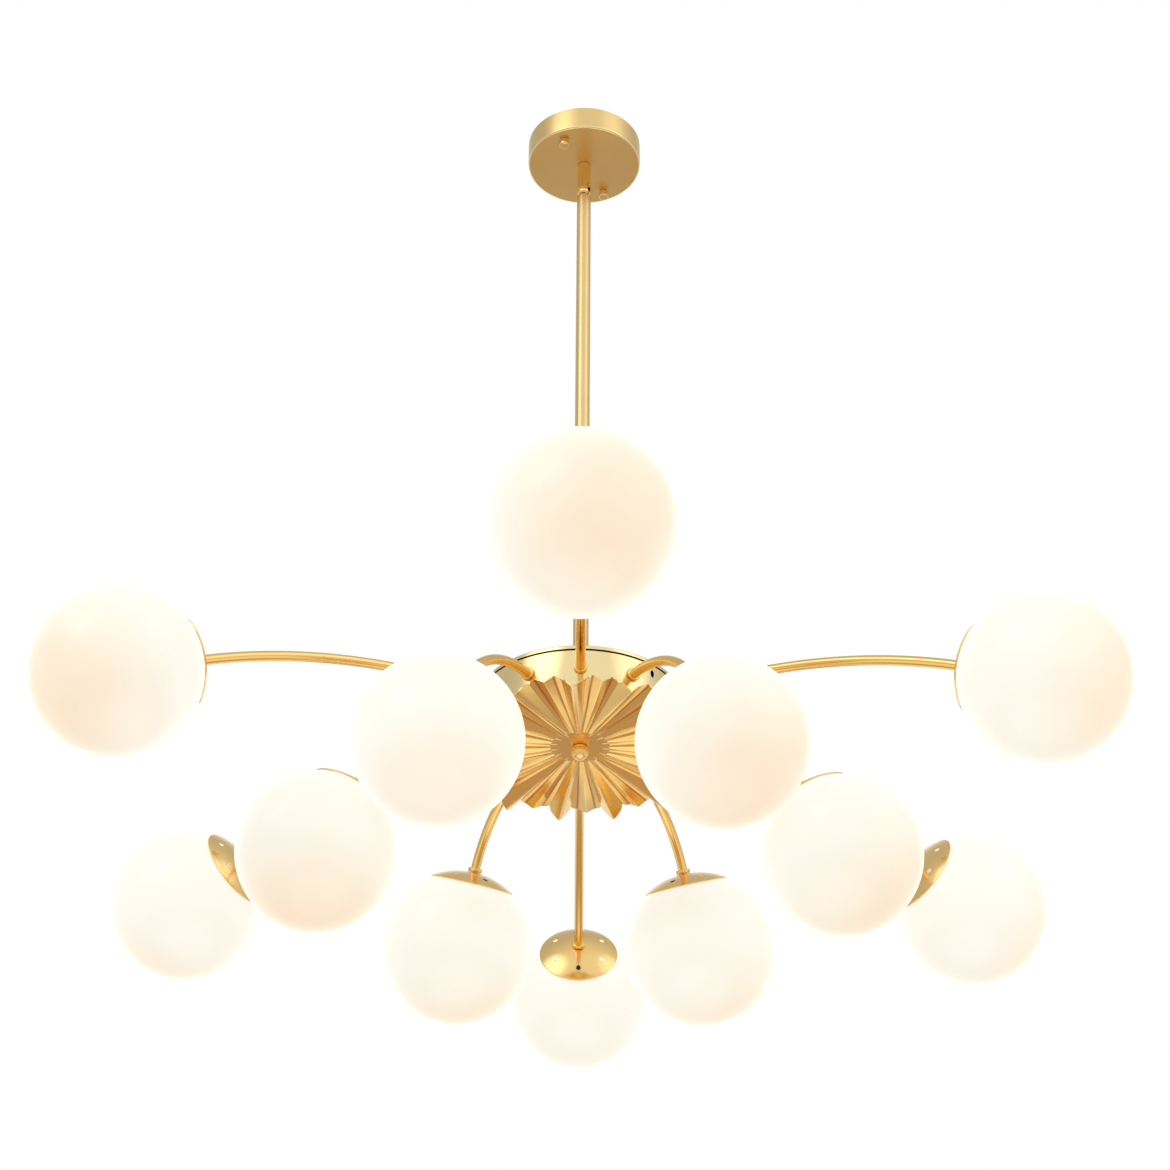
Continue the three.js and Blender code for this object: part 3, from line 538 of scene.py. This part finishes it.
slot_azimuth = math.radians(SLOT_AZIMUTH_DEG)
slot_outwards = Vector((math.sin(slot_azimuth), -math.cos(slot_azimuth), 0))
slot_top = ball_level + SLOT_ABOVE_BALL
slot_bottom = socket_end - SLOT_OVERRUN
slot_depth = SOCKET_RADIUS + SLOT_OVERRUN
bpy.ops.mesh.primitive_cube_add(
    size=1,
    location=slot_outwards * slot_depth / 2 + Vector((0, 0, (slot_top + slot_bottom) / 2)),
    rotation=(0, 0, slot_azimuth),
    scale=(SLOT_WIDTH, slot_depth, slot_top - slot_bottom),
)
cut_away(swivel_socket, settle(bpy.context.object))

bpy.ops.mesh.primitive_cylinder_add(
    vertices=6, radius=LOCKNUT_RADIUS, depth=LOCKNUT_HEIGHT,
    location=(0, 0, locknut_bottom + LOCKNUT_HEIGHT / 2),
)
locknut = soft_edged(settle(bpy.context.object), LOCKNUT_BEVEL)
join_to(swivel_socket, locknut)
smooth(swivel_socket)
glossy_gold = gold(
    "glossy_gold", pale=srgb(253, 226, 162), deep=srgb(247, 217, 149), roughness=0.12, grain=700
)
finished(swivel_socket, glossy_gold, "swivel", "satin_gold", "swivel_socket")

# Down rod: a drawn brass tube with a rounded shoulder. The neck and ball turned on its top end hang
# in the socket, and the drum's tie rod screws into its foot.
ROD_RADIUS = 7.7 * MM
ROD_WALL = 1.2 * MM
ROD_LENGTH = 640.2 * MM
ROD_SHOULDER = 3.6 * MM
ROD_CROWN = 4 * MM
ROD_NECK_RADIUS = 2.7 * MM
ROD_WIRE_RADIUS = 1.2 * MM
TILT_GAP = 1.2 * MM

rod_top = socket_end - TILT_GAP
rod_end = rod_top - ROD_LENGTH
rod_inner = ROD_RADIUS - ROD_WALL
down_rod = turn_on_lathe("drawn_down_rod", [
    (rod_inner, rod_end),
    (ROD_RADIUS, rod_end),
    *round_corner(ROD_RADIUS - ROD_SHOULDER, rod_top - ROD_SHOULDER, ROD_SHOULDER, 0, 90, steps=8),
    (ROD_NECK_RADIUS, rod_top),
    *round_corner(
        0, ball_level, BALL_RADIUS,
        -math.degrees(math.acos(ROD_NECK_RADIUS / BALL_RADIUS)),
        math.degrees(math.acos(ROD_WIRE_RADIUS / BALL_RADIUS)),
        steps=16,
    ),
    (ROD_WIRE_RADIUS, rod_top - ROD_CROWN),
    (rod_inner, rod_top - ROD_CROWN),
], closed=True, steps=64)
drawn_gold = gold(
    "drawn_gold", pale=srgb(236, 207, 148), deep=srgb(229, 198, 137), roughness=0.28, grain=900,
    stretch=(1, 1, 0.02),
)
finished(down_rod, drawn_gold, "fixture", "satin_gold", "down_rod")

# Drum: a round box of polished, pale gold brass. The arms are bolted through its wall and their
# wires meet inside. A small grub-screw hole sits beside the short arm at the front right.
DRUM_RADIUS = 96.4 * MM
DRUM_WALL = 1.5 * MM
DRUM_HEIGHT = 45.2 * MM
DRUM_TOP_ABOVE_ARMS = 18.7 * MM
DRUM_EDGE_ROUND = 1 * MM
LID_RIM_HEIGHT = 3.8 * MM
LID_GROOVE = 2 * MM
TIE_BORE = 5.4 * MM
SIDE_HOLE_WIDTH = 4.4 * MM
SIDE_HOLE_HEIGHT = 8 * MM
SIDE_DRILL_DEPTH = 8 * DRUM_WALL
SIDE_HOLE_AZIMUTH_DEG = 44
SIDE_HOLE_ABOVE_ARMS = 10 * MM

lid_top = rod_end - SEAT_GAP
drum_top = lid_top - LID_RIM_HEIGHT - LID_GROOVE
drum_bottom = drum_top - DRUM_HEIGHT
arm_level = drum_top - DRUM_TOP_ABOVE_ARMS
drum_inner = DRUM_RADIUS - DRUM_WALL
drum_flat = DRUM_RADIUS - DRUM_EDGE_ROUND
drum_body = turn_on_lathe("polished_drum_body", [
    (TIE_BORE, drum_bottom),
    *round_corner(drum_flat, drum_bottom + DRUM_EDGE_ROUND, DRUM_EDGE_ROUND, -90, 0, steps=3),
    (DRUM_RADIUS, drum_top),
    (drum_inner, drum_top),
    (drum_inner, drum_bottom + DRUM_WALL),
    (TIE_BORE, drum_bottom + DRUM_WALL),
], closed=True, steps=192)
side_azimuth = math.radians(SIDE_HOLE_AZIMUTH_DEG)
side_outwards = Vector((math.sin(side_azimuth), -math.cos(side_azimuth), 0))
bpy.ops.mesh.primitive_cylinder_add(
    vertices=32, radius=SIDE_HOLE_WIDTH / 2, depth=SIDE_DRILL_DEPTH,
    location=side_outwards * DRUM_RADIUS + Vector((0, 0, arm_level + SIDE_HOLE_ABOVE_ARMS)),
    rotation=(math.radians(90), 0, side_azimuth),
)
side_drill = bpy.context.object
side_drill.scale = (1, SIDE_HOLE_HEIGHT / SIDE_HOLE_WIDTH, 1)
cut_away(drum_body, settle(side_drill))
smooth(drum_body)
polished_pale_gold = gold(
    "polished_pale_gold", pale=srgb(247, 226, 172), deep=srgb(242, 216, 156), roughness=0.14, grain=260
)
finished(drum_body, polished_pale_gold, "fixture", "pale_gold", "drum_body")

# Drum lid: a turned disc with a ring below it that centres it in the drum. A narrow groove parts
# its rim from the drum's wall, and the rim's underside is painted near black, painted shade, so that
# the groove shows as a dark line.
LID_SHEET = 1.5 * MM
LID_SPIGOT = 4 * MM
LID_SPIGOT_GAP = 0.8 * MM

lid_ring = drum_inner - LID_SPIGOT_GAP
lid_rim_bottom = lid_top - LID_RIM_HEIGHT
drum_lid = turn_on_lathe("polished_drum_lid", [
    (TIE_BORE, lid_top - LID_SHEET),
    (lid_ring - LID_SHEET, lid_top - LID_SHEET),
    (lid_ring - LID_SHEET, lid_rim_bottom - LID_SPIGOT),
    (lid_ring, lid_rim_bottom - LID_SPIGOT),
    (lid_ring, lid_rim_bottom),
    (DRUM_RADIUS, lid_rim_bottom),
    *round_corner(drum_flat, lid_top - DRUM_EDGE_ROUND, DRUM_EDGE_ROUND, 0, 90, steps=4),
    (TIE_BORE, lid_top),
], closed=True, steps=192)
finished(drum_lid, polished_pale_gold, "fixture", "pale_gold", "drum_lid")
# A near-black paint for painted shade: the lid rim's underside here, and the dark vent in each cup.
painted_shade_black = Finish("painted_shade_black", Specular_IOR_Level=0.2)
painted_shade_black.mottle(
    scale=400, dark=srgb(26, 19, 10), light=srgb(42, 31, 18), roughness=0.5, spread=0.2
)
drum_lid.data.materials.append(painted_shade_black.material)
# The faces under the rim take the near-black paint: painted shade in the groove.
for polygon in drum_lid.data.polygons:
    if polygon.center.z < lid_rim_bottom + MERGE_DISTANCE:
        polygon.material_index = PAINTED_LIGHT_SLOT

# Tie rod: a zinc-plated bolt down the middle, from a plug in the rod's foot through the drum to the
# finial. Two nuts clamp the drum on it. It is all but hidden, so its plain solid stays.
refinish("tie_rod", zinc)

# Starburst plate: a disc of sheet brass, pressed into fifteen deep pleats that fade into a flat boss
# in the middle. Each pleat ends in a round leaf at the rim, with a low pleat between two leaves.
PLATE_SHEET = 1.2 * MM
PLATE_BELOW_DRUM = 3.5 * MM
PLATE_BORE = 3.4 * MM
PLATE_BOSS_RADIUS = 22 * MM
PETALS = 15
FIRST_PETAL_AZIMUTH_DEG = -3
PETAL_NOTCH_RADIUS = 122 * MM
PETAL_REACH = 8 * MM
PLEAT_DEPTH = 13.2 * MM
PLATE_RIM_RISE = 2.2 * MM
PLEAT_ROUND = 0.45 * MM
PLEAT_SHARP_DEG = 11
# Round half a petal, from its crest on: where each point of the rim lies, how far it reaches from
# the notch to the tip radius, and how far it drops from the valley to the tip. The folds are at 0,
# 0.125, 0.21, 0.33 and 0.5; the points between them round the crests and the leaves' outline.
FOLD_TURN_SHARES = (0, 0.04, 0.08, 0.125, 0.16, 0.19, 0.21, 0.24, 0.28, 0.33, 0.42, 0.5)
FOLD_REACH_SHARES = (1, 0.99, 0.96, 0.88, 0.73, 0.44, 0, 0.42, 0.66, 0.76, 0.79, 0.8)
FOLD_DROP_SHARES = (1, 0.88, 0.71, 0.5, 0.343, 0.209, 0.12, 0.09, 0.05, 0, 0.196, 0.37)
# How much painted light each point gets: a painted highlight on the ridges, painted shade in the
# creases.
FOLD_SHINE_SHARES = (1, 0.8, 0.7, 0.6, 0.5, 0.35, 0.1, 0.4, 0.3, 0, 0.5, 1)
BOSS_SHINE_SHARE = 0.25
# From which shine to which a crease darkens with painted shade and a ridge pales with a painted
# highlight, and how pale the ridge gets
CREASE_SHINE = (0.25, 0)
RIDGE_SHINE = (0.8, 1)
RIDGE_HIGHLIGHT = 0.9
CREASE_SHADE_GOLD = srgb(196, 136, 66)
RIDGE_HIGHLIGHT_GOLD = srgb(255, 236, 182)
# Where the rings of points lie between the boss and the rim, and where the shine is full
PLATE_RING_SHARES = (0, 0.06, 0.5, 1)
FULL_SHINE_SHARE = 0.5

boss_face = drum_bottom - PLATE_BELOW_DRUM
fold_count = 2 * (len(FOLD_TURN_SHARES) - 1)
bpy.ops.mesh.primitive_circle_add(
    vertices=PETALS * fold_count, radius=PLATE_BORE, location=(0, 0, boss_face), fill_type="NOTHING",
)
plate = settle(bpy.context.object)
plate.name = "pressed_starburst_plate"
bpy.ops.object.mode_set(mode="EDIT")
bpy.ops.mesh.select_all(action="SELECT")
ring_radii = [PLATE_BORE, PLATE_BOSS_RADIUS - PLATE_SHEET]
for share in PLATE_RING_SHARES:
    ring_radii.append(PLATE_BOSS_RADIUS + (PETAL_NOTCH_RADIUS - PLATE_BOSS_RADIUS) * share)
for radius, next_radius in zip(ring_radii, ring_radii[1:]):
    bpy.ops.mesh.extrude_region_move()
    grow = next_radius / radius
    bpy.ops.transform.resize(value=(grow, grow, 1), center_override=(0, 0, boss_face))
bpy.ops.object.mode_set(mode="OBJECT")


def press_pleats(mesh):
    """Moves the rings' points outwards from the boss onto the pleats' folds, and stores each point's
    painted light.
    """
    rubbed = mesh.attributes.new("rubbed", "FLOAT", "POINT")
    for vertex in mesh.vertices:
        radius = math.hypot(vertex.co.x, vertex.co.y)
        fold_turn = math.atan2(vertex.co.x, -vertex.co.y) / (2 * math.pi) * PETALS * fold_count
        petal, fold = divmod(round(fold_turn), fold_count)
        point = min(fold, fold_count - fold)
        share_round = FOLD_TURN_SHARES[point] if fold == point else 1 - FOLD_TURN_SHARES[point]
        turn = (petal + share_round) / PETALS
        angle = 2 * math.pi * turn + math.radians(FIRST_PETAL_AZIMUTH_DEG)
        share = max(0, radius - PLATE_BOSS_RADIUS) / (PETAL_NOTCH_RADIUS - PLATE_BOSS_RADIUS)
        reach = PETAL_REACH * FOLD_REACH_SHARES[point]
        place = radius + reach * share
        drop = PLEAT_DEPTH * FOLD_DROP_SHARES[point] - PLATE_RIM_RISE
        vertex.co = (place * math.sin(angle), -place * math.cos(angle), boss_face - drop * share)
        shine = FOLD_SHINE_SHARES[point] - BOSS_SHINE_SHARE
        rubbed.data[vertex.index].value = BOSS_SHINE_SHARE + shine * min(1, share / FULL_SHINE_SHARE)


press_pleats(plate.data)
bpy.ops.object.mode_set(mode="EDIT")
bpy.ops.mesh.select_all(action="SELECT")
bpy.ops.mesh.normals_make_consistent(inside=False)
bpy.ops.object.mode_set(mode="OBJECT")
# This is the sheet's lower face, so it faces down and the sheet thickens upwards from it.
if sum(polygon.normal.z for polygon in plate.data.polygons) > 0:
    plate.data.flip_normals()
modify(plate, "SOLIDIFY", thickness=PLATE_SHEET, offset=-1)
soft_edged(plate, PLEAT_ROUND, segments=2, sharp_deg=PLEAT_SHARP_DEG)
pressed_gold = gold(
    "pressed_gold", pale=srgb(250, 211, 134), deep=srgb(244, 201, 121), roughness=0.16, grain=900
)
painted_light_share = pressed_gold.node("Attribute", {"attribute_name": "rubbed"}, output="Fac")
# Painted shade darkens the creases and a painted highlight pales the ridges, after each point's painted
# light.
crease = pressed_gold.ramp(painted_light_share, *CREASE_SHINE, 0, 1)
ridge = pressed_gold.ramp(painted_light_share, *RIDGE_SHINE, 0, RIDGE_HIGHLIGHT)
creased = pressed_gold.blend(crease, pressed_gold.fed("Base Color"), CREASE_SHADE_GOLD)
pressed_gold.feed("Base Color", pressed_gold.blend(ridge, creased, RIDGE_HIGHLIGHT_GOLD))
finished(plate, pressed_gold, "fixture", "deep_gold", "starburst_plate")

# Finial: a brass ball nut with a soft polish, which pulls the plate up against its spacer. Its top is
# turned flat where it meets the boss.
FINIAL_RADIUS = 8.6 * MM
FINIAL_CENTRE_DROP = 4.7 * MM

finial_seat = boss_face - SEAT_GAP
finial_centre = finial_seat - FINIAL_CENTRE_DROP
seat_deg = math.degrees(math.asin(FINIAL_CENTRE_DROP / FINIAL_RADIUS))
finial = turn_on_lathe("polished_finial", [
    (0, finial_centre - FINIAL_RADIUS),
    *round_corner(0, finial_centre, FINIAL_RADIUS, -90, seat_deg, steps=24)[1:],
    (0, finial_seat),
], closed=False, steps=64)
polished_deep_gold = gold(
    "polished_deep_gold", pale=srgb(251, 218, 148), deep=srgb(247, 208, 134), roughness=0.3, grain=500
)
finished(finial, polished_deep_gold, "fixture", "deep_gold", "finial")

# Arms: bent brass tubes, lacquered a deep gold. Each has a rounded collar against the drum's wall
# and another against its cup. The long ones run level before they bend, the short ones bend at once.
ARM_RADIUS = 4.7 * MM
ARM_SIDES = 32
ARM_ROOT_COLLAR_RADIUS = 6.5 * MM
ARM_ROOT_COLLAR_LENGTH = 3.2 * MM
ARM_END_COLLAR_RADIUS = 7.2 * MM
ARM_END_COLLAR_LENGTH = 4 * MM
COLLAR_ROUND = 1.2 * MM
ARMS_OF_A_KIND = 6
ARM_KINDS = {
    "long": {"first_deg": 0, "straight": 40 * MM, "bend_radius": 602 * MM, "bend_deg": 24.4},
    "short": {"first_deg": 30, "straight": 0, "bend_radius": 123 * MM, "bend_deg": 63.9},
}
BEND_STEPS = 28

arm_start = DRUM_RADIUS + SEAT_GAP


def collar(radius, length, matrix, edge_round=COLLAR_ROUND):
    """A short round collar with soft edges, from a frame's origin along its +Z."""
    bpy.ops.mesh.primitive_cylinder_add(
        vertices=48, radius=radius, depth=length, location=(0, 0, length / 2),
    )
    ring = soft_edged(settle(bpy.context.object), edge_round, segments=4)
    ring.data.transform(matrix)
    return ring


def arm_tube(straight, bend_radius, bend):
    """The bent tube of an arm that points along -Y, with its two ends closed."""
    bpy.ops.mesh.primitive_circle_add(
        vertices=ARM_SIDES, radius=ARM_RADIUS, fill_type="NGON",
        location=(0, -arm_start, arm_level), rotation=(math.radians(90), 0, 0),
    )
    tube = settle(bpy.context.object)
    bpy.ops.object.mode_set(mode="EDIT")
    bpy.ops.mesh.select_all(action="SELECT")
    if straight > 0:
        bpy.ops.mesh.extrude_region_move(TRANSFORM_OT_translate={"value": (0, -straight, 0)})
    bpy.ops.mesh.spin(
        steps=BEND_STEPS, angle=-bend, axis=(1, 0, 0),
        center=(0, -(arm_start + straight), arm_level - bend_radius),
    )
    bpy.ops.mesh.select_all(action="SELECT")
    bpy.ops.mesh.remove_doubles(threshold=MERGE_DISTANCE)
    bpy.ops.mesh.normals_make_consistent(inside=False)
    bpy.ops.object.mode_set(mode="OBJECT")
    return tube


def head_matrix(kind):
    """The frame at the end of the arm of a kind that points along -Y, its +Z along the tube."""
    size = ARM_KINDS[kind]
    bend = math.radians(size["bend_deg"])
    outwards = arm_start + size["straight"] + size["bend_radius"] * math.sin(bend)
    drop = size["bend_radius"] * (1 - math.cos(bend))
    turn = Matrix.Rotation(math.radians(90) + bend, 4, "X")
    return Matrix.Translation((0, -outwards, arm_level - drop)) @ turn


def round_the_drum(kind, model, name, finish, slot, body="fixture", shade_finish=None):
    """Copies the piece of the first arm to all six arms of its kind, each with its own mesh.

    Without a body, each copy rides on the body that is named like its node. The finish may be one
    for all, or a function that makes each copy its own.
    """
    for i in range(ARMS_OF_A_KIND):
        azimuth = math.radians(ARM_KINDS[kind]["first_deg"] + i * 360 / ARMS_OF_A_KIND)
        copy = bpy.data.objects.new(f"{name}_{kind}_{i + 1}", model.data.copy())
        bpy.context.scene.collection.objects.link(copy)
        copy.data.transform(Matrix.Rotation(azimuth, 4, "Z"))
        node = f"{name.split('_')[-1]}_{kind}_{i + 1}"
        riding = node if body is None else body
        dressing = finish(kind, i, azimuth) if callable(finish) else finish
        finished(copy, dressing, riding, slot, node)
        if shade_finish is not None:
            copy.data.materials.append(shade_finish.material)
    bpy.data.objects.remove(model)


lacquered_gold = gold(
    "lacquered_gold", pale=srgb(249, 211, 134), deep=srgb(244, 200, 119), roughness=0.17, grain=800
)
root_turn = Matrix.Rotation(math.radians(90), 4, "X")
root_matrix = Matrix.Translation((0, -arm_start, arm_level)) @ root_turn
for kind, size in ARM_KINDS.items():
    arm = arm_tube(size["straight"], size["bend_radius"], math.radians(size["bend_deg"]))
    root_collar = collar(ARM_ROOT_COLLAR_RADIUS, ARM_ROOT_COLLAR_LENGTH, root_matrix)
    end_collar = collar(ARM_END_COLLAR_RADIUS, ARM_END_COLLAR_LENGTH, head_matrix(kind))
    join_to(arm, root_collar, end_collar)
    smooth(arm)
    round_the_drum(kind, arm, "lacquered_arm", lacquered_gold, "deep_gold")

# Cups: spun brass domes that follow the glass, softly polished. Six round vents let the lamp's heat
# out: five glow, and the one under the arm holds a black disc, painted shade that keeps that vent dark.
GLOBE_RADIUS = 75 * MM
CUP_GAP = 0.5 * MM
CUP_WALL = 1.2 * MM
CUP_RIM_RADIUS = 41.8 * MM
VENT_RADIUS = 2.6 * MM
VENT_CIRCLE_RADIUS = 29 * MM
VENTS = 6
CUP_SIDES = 96
CUP_RINGS = 96
CUP_RIM_ROUND = 0.4 * MM
DARK_VENT_DISC_RADIUS = 2.45 * MM
DARK_VENT_DISC_HEIGHT = 0.9 * MM
DARK_VENT_DISC_ROUND = 0.2 * MM

cup_outer = GLOBE_RADIUS + CUP_GAP + CUP_WALL
globe_centre = ARM_END_COLLAR_LENGTH + SEAT_GAP + cup_outer
rim_level = globe_centre - math.sqrt(cup_outer ** 2 - CUP_RIM_RADIUS ** 2)


def vent_drills():
    """Six drills along the head's axis, joined into one cutting tool."""
    drills = []
    for i in range(VENTS):
        angle = 2 * math.pi * (i + 1 / 2) / VENTS
        vent_x = VENT_CIRCLE_RADIUS * math.cos(angle)
        vent_y = VENT_CIRCLE_RADIUS * math.sin(angle)
        bpy.ops.mesh.primitive_cylinder_add(
            vertices=24, radius=VENT_RADIUS, depth=2 * rim_level,
            location=(vent_x, vent_y, rim_level / 2),
        )
        drills.append(settle(bpy.context.object))
    return join_to(*drills)


def dark_vent_disc():
    """The black disc in the vent under the arm, painted shade for that vent, square to the dome and a
    little below its surface.
    """
    wall_middle = cup_outer - CUP_WALL / 2
    lean = math.asin(VENT_CIRCLE_RADIUS / wall_middle)
    sunk = Matrix.Translation((0, 0, wall_middle - DARK_VENT_DISC_HEIGHT / 2))
    aim = Matrix.Translation((0, 0, globe_centre)) @ Matrix.Rotation(math.pi - lean, 4, "X")
    return collar(DARK_VENT_DISC_RADIUS, DARK_VENT_DISC_HEIGHT, aim @ sunk, DARK_VENT_DISC_ROUND)


def spun_cup():
    """A cup in its arm's frame: a ball's cap with a wall, drilled for the vents."""
    bpy.ops.mesh.primitive_uv_sphere_add(
        segments=CUP_SIDES, ring_count=CUP_RINGS, radius=cup_outer, location=(0, 0, globe_centre),
    )
    cup = settle(bpy.context.object)
    bpy.ops.object.mode_set(mode="EDIT")
    bpy.ops.mesh.select_all(action="SELECT")
    bpy.ops.mesh.bisect(plane_co=(0, 0, rim_level), plane_no=(0, 0, 1), clear_outer=True)
    bpy.ops.object.mode_set(mode="OBJECT")
    modify(cup, "SOLIDIFY", thickness=CUP_WALL, offset=-1)
    cut_away(cup, vent_drills())
    return soft_edged(cup, CUP_RIM_ROUND, segments=2)


spun_gold = gold(
    "spun_gold", pale=srgb(248, 214, 145), deep=srgb(243, 205, 131), roughness=0.18, grain=1100
)
for kind in ARM_KINDS:
    cup = join_to(spun_cup(), dark_vent_disc())
    # The disc's faces take the near-black paint: painted shade in that vent.
    for polygon in cup.data.polygons:
        if math.hypot(polygon.center.x, polygon.center.y + VENT_CIRCLE_RADIUS) < DARK_VENT_DISC_RADIUS:
            polygon.material_index = PAINTED_LIGHT_SLOT
    cup.data.transform(head_matrix(kind))
    round_the_drum(kind, cup, "spun_cup", spun_gold, "satin_gold", shade_finish=painted_shade_black)

# Lamps: a white ceramic holder on each arm's end with a frosted capsule bulb in it. The opal globes
# hide them, so their plain solids stay.
ceramic = Finish("white_ceramic")
ceramic.mottle(
    scale=300, dark=srgb(240, 238, 232), light=srgb(249, 247, 242), roughness=0.4, spread=0.2
)
for kind in ARM_KINDS:
    for i in range(ARMS_OF_A_KIND):
        refinish(f"lamp_{kind}_{i + 1}", ceramic)

# Globes: blown opal glass, satin inside, with the lamp lit. Their glow is painted light, an emission
# almost even, whiter near the lamp holder and a little warmer round the far pole, in a painted warm
# patch.
GLASS_WALL = 2 * MM
MOUTH_RADIUS = 36 * MM
GLOBE_SIDES = 96
GLOBE_RINGS = 64
GLASS_GLOW = 0.74
GLASS_BODY = 0.3
GLASS_WHITE = srgb(255, 252, 241)
GLASS_CREAM = srgb(255, 247, 229)
GLASS_WARM = srgb(255, 236, 212)
GLASS_STOPS = ((0.25, GLASS_WHITE), (0.62, GLASS_CREAM), (0.95, GLASS_WARM))
GLASS_ROUGHNESS = 0.3
# How much of the tint's share comes from the nearness to the far pole, and how much from the drift
POLE_SHARE = 0.85
DRIFT_SHARE = 0.25
# Which way the painted warm patch leans from the far pole
WARM_SIDE = Vector((0.45, 0, -0.1))
# How much warmer or whiter than the others each lamp's light is
LAMP_WARMTH = {
    "long": (0.05, 0.02, 0, -0.2, -0.05, 0),
    "short": (0.08, 0.05, -0.1, -0.1, 0.05, -0.25),
}


def blown_globe():
    """A globe in its arm's frame: a ball with an open mouth and a wall of glass."""
    bpy.ops.mesh.primitive_uv_sphere_add(
        segments=GLOBE_SIDES, ring_count=GLOBE_RINGS, radius=GLOBE_RADIUS,
        location=(0, 0, globe_centre),
    )
    globe = settle(bpy.context.object)
    mouth_level = globe_centre - math.sqrt(GLOBE_RADIUS ** 2 - MOUTH_RADIUS ** 2)
    bpy.ops.object.mode_set(mode="EDIT")
    bpy.ops.mesh.select_all(action="SELECT")
    bpy.ops.mesh.bisect(plane_co=(0, 0, mouth_level), plane_no=(0, 0, 1), clear_inner=True)
    bpy.ops.object.mode_set(mode="OBJECT")
    modify(globe, "SOLIDIFY", thickness=GLASS_WALL, offset=-1)
    smooth(globe)
    return globe


def lit_opal(kind, i, azimuth):
    """The glass of one globe, whose painted glow is laid out round its own centre and far pole."""
    head = Matrix.Rotation(azimuth, 4, "Z") @ head_matrix(kind)
    centre = head @ Vector((0, 0, globe_centre))
    pole = (head.to_3x3() @ Vector((0, 0, 1)) + WARM_SIDE).normalized()
    name = f"lit_opal_{kind}_{i + 1}"
    glass = Finish(name, Emission_Strength=GLASS_GLOW, Roughness=GLASS_ROUGHNESS)
    outwards = glass.place(scale=(1 / GLOBE_RADIUS,) * 3, centre=centre)
    towards_pole = glass.along(outwards, pole)
    drift = glass.noise(outwards, scale=1.1, detail=2)
    # The tint is painted light: whiter towards the holder, warmer towards the far pole, drifting a
    # little.
    share = POLE_SHARE * towards_pole + DRIFT_SHARE * drift + LAMP_WARMTH[kind][i]
    tint = glass.node("ValToRGB", {"stops": GLASS_STOPS}, {"Fac": share})
    body = glass.node("VectorMath", {"operation": "SCALE"}, {0: tint, "Scale": GLASS_BODY})
    glass.feed("Base Color", body)
    glass.feed("Emission Color", tint)
    return glass


for kind in ARM_KINDS:
    globe = blown_globe()
    globe.data.transform(head_matrix(kind))
    round_the_drum(kind, globe, "opal_globe", lit_opal, "opal_glass", body=None)
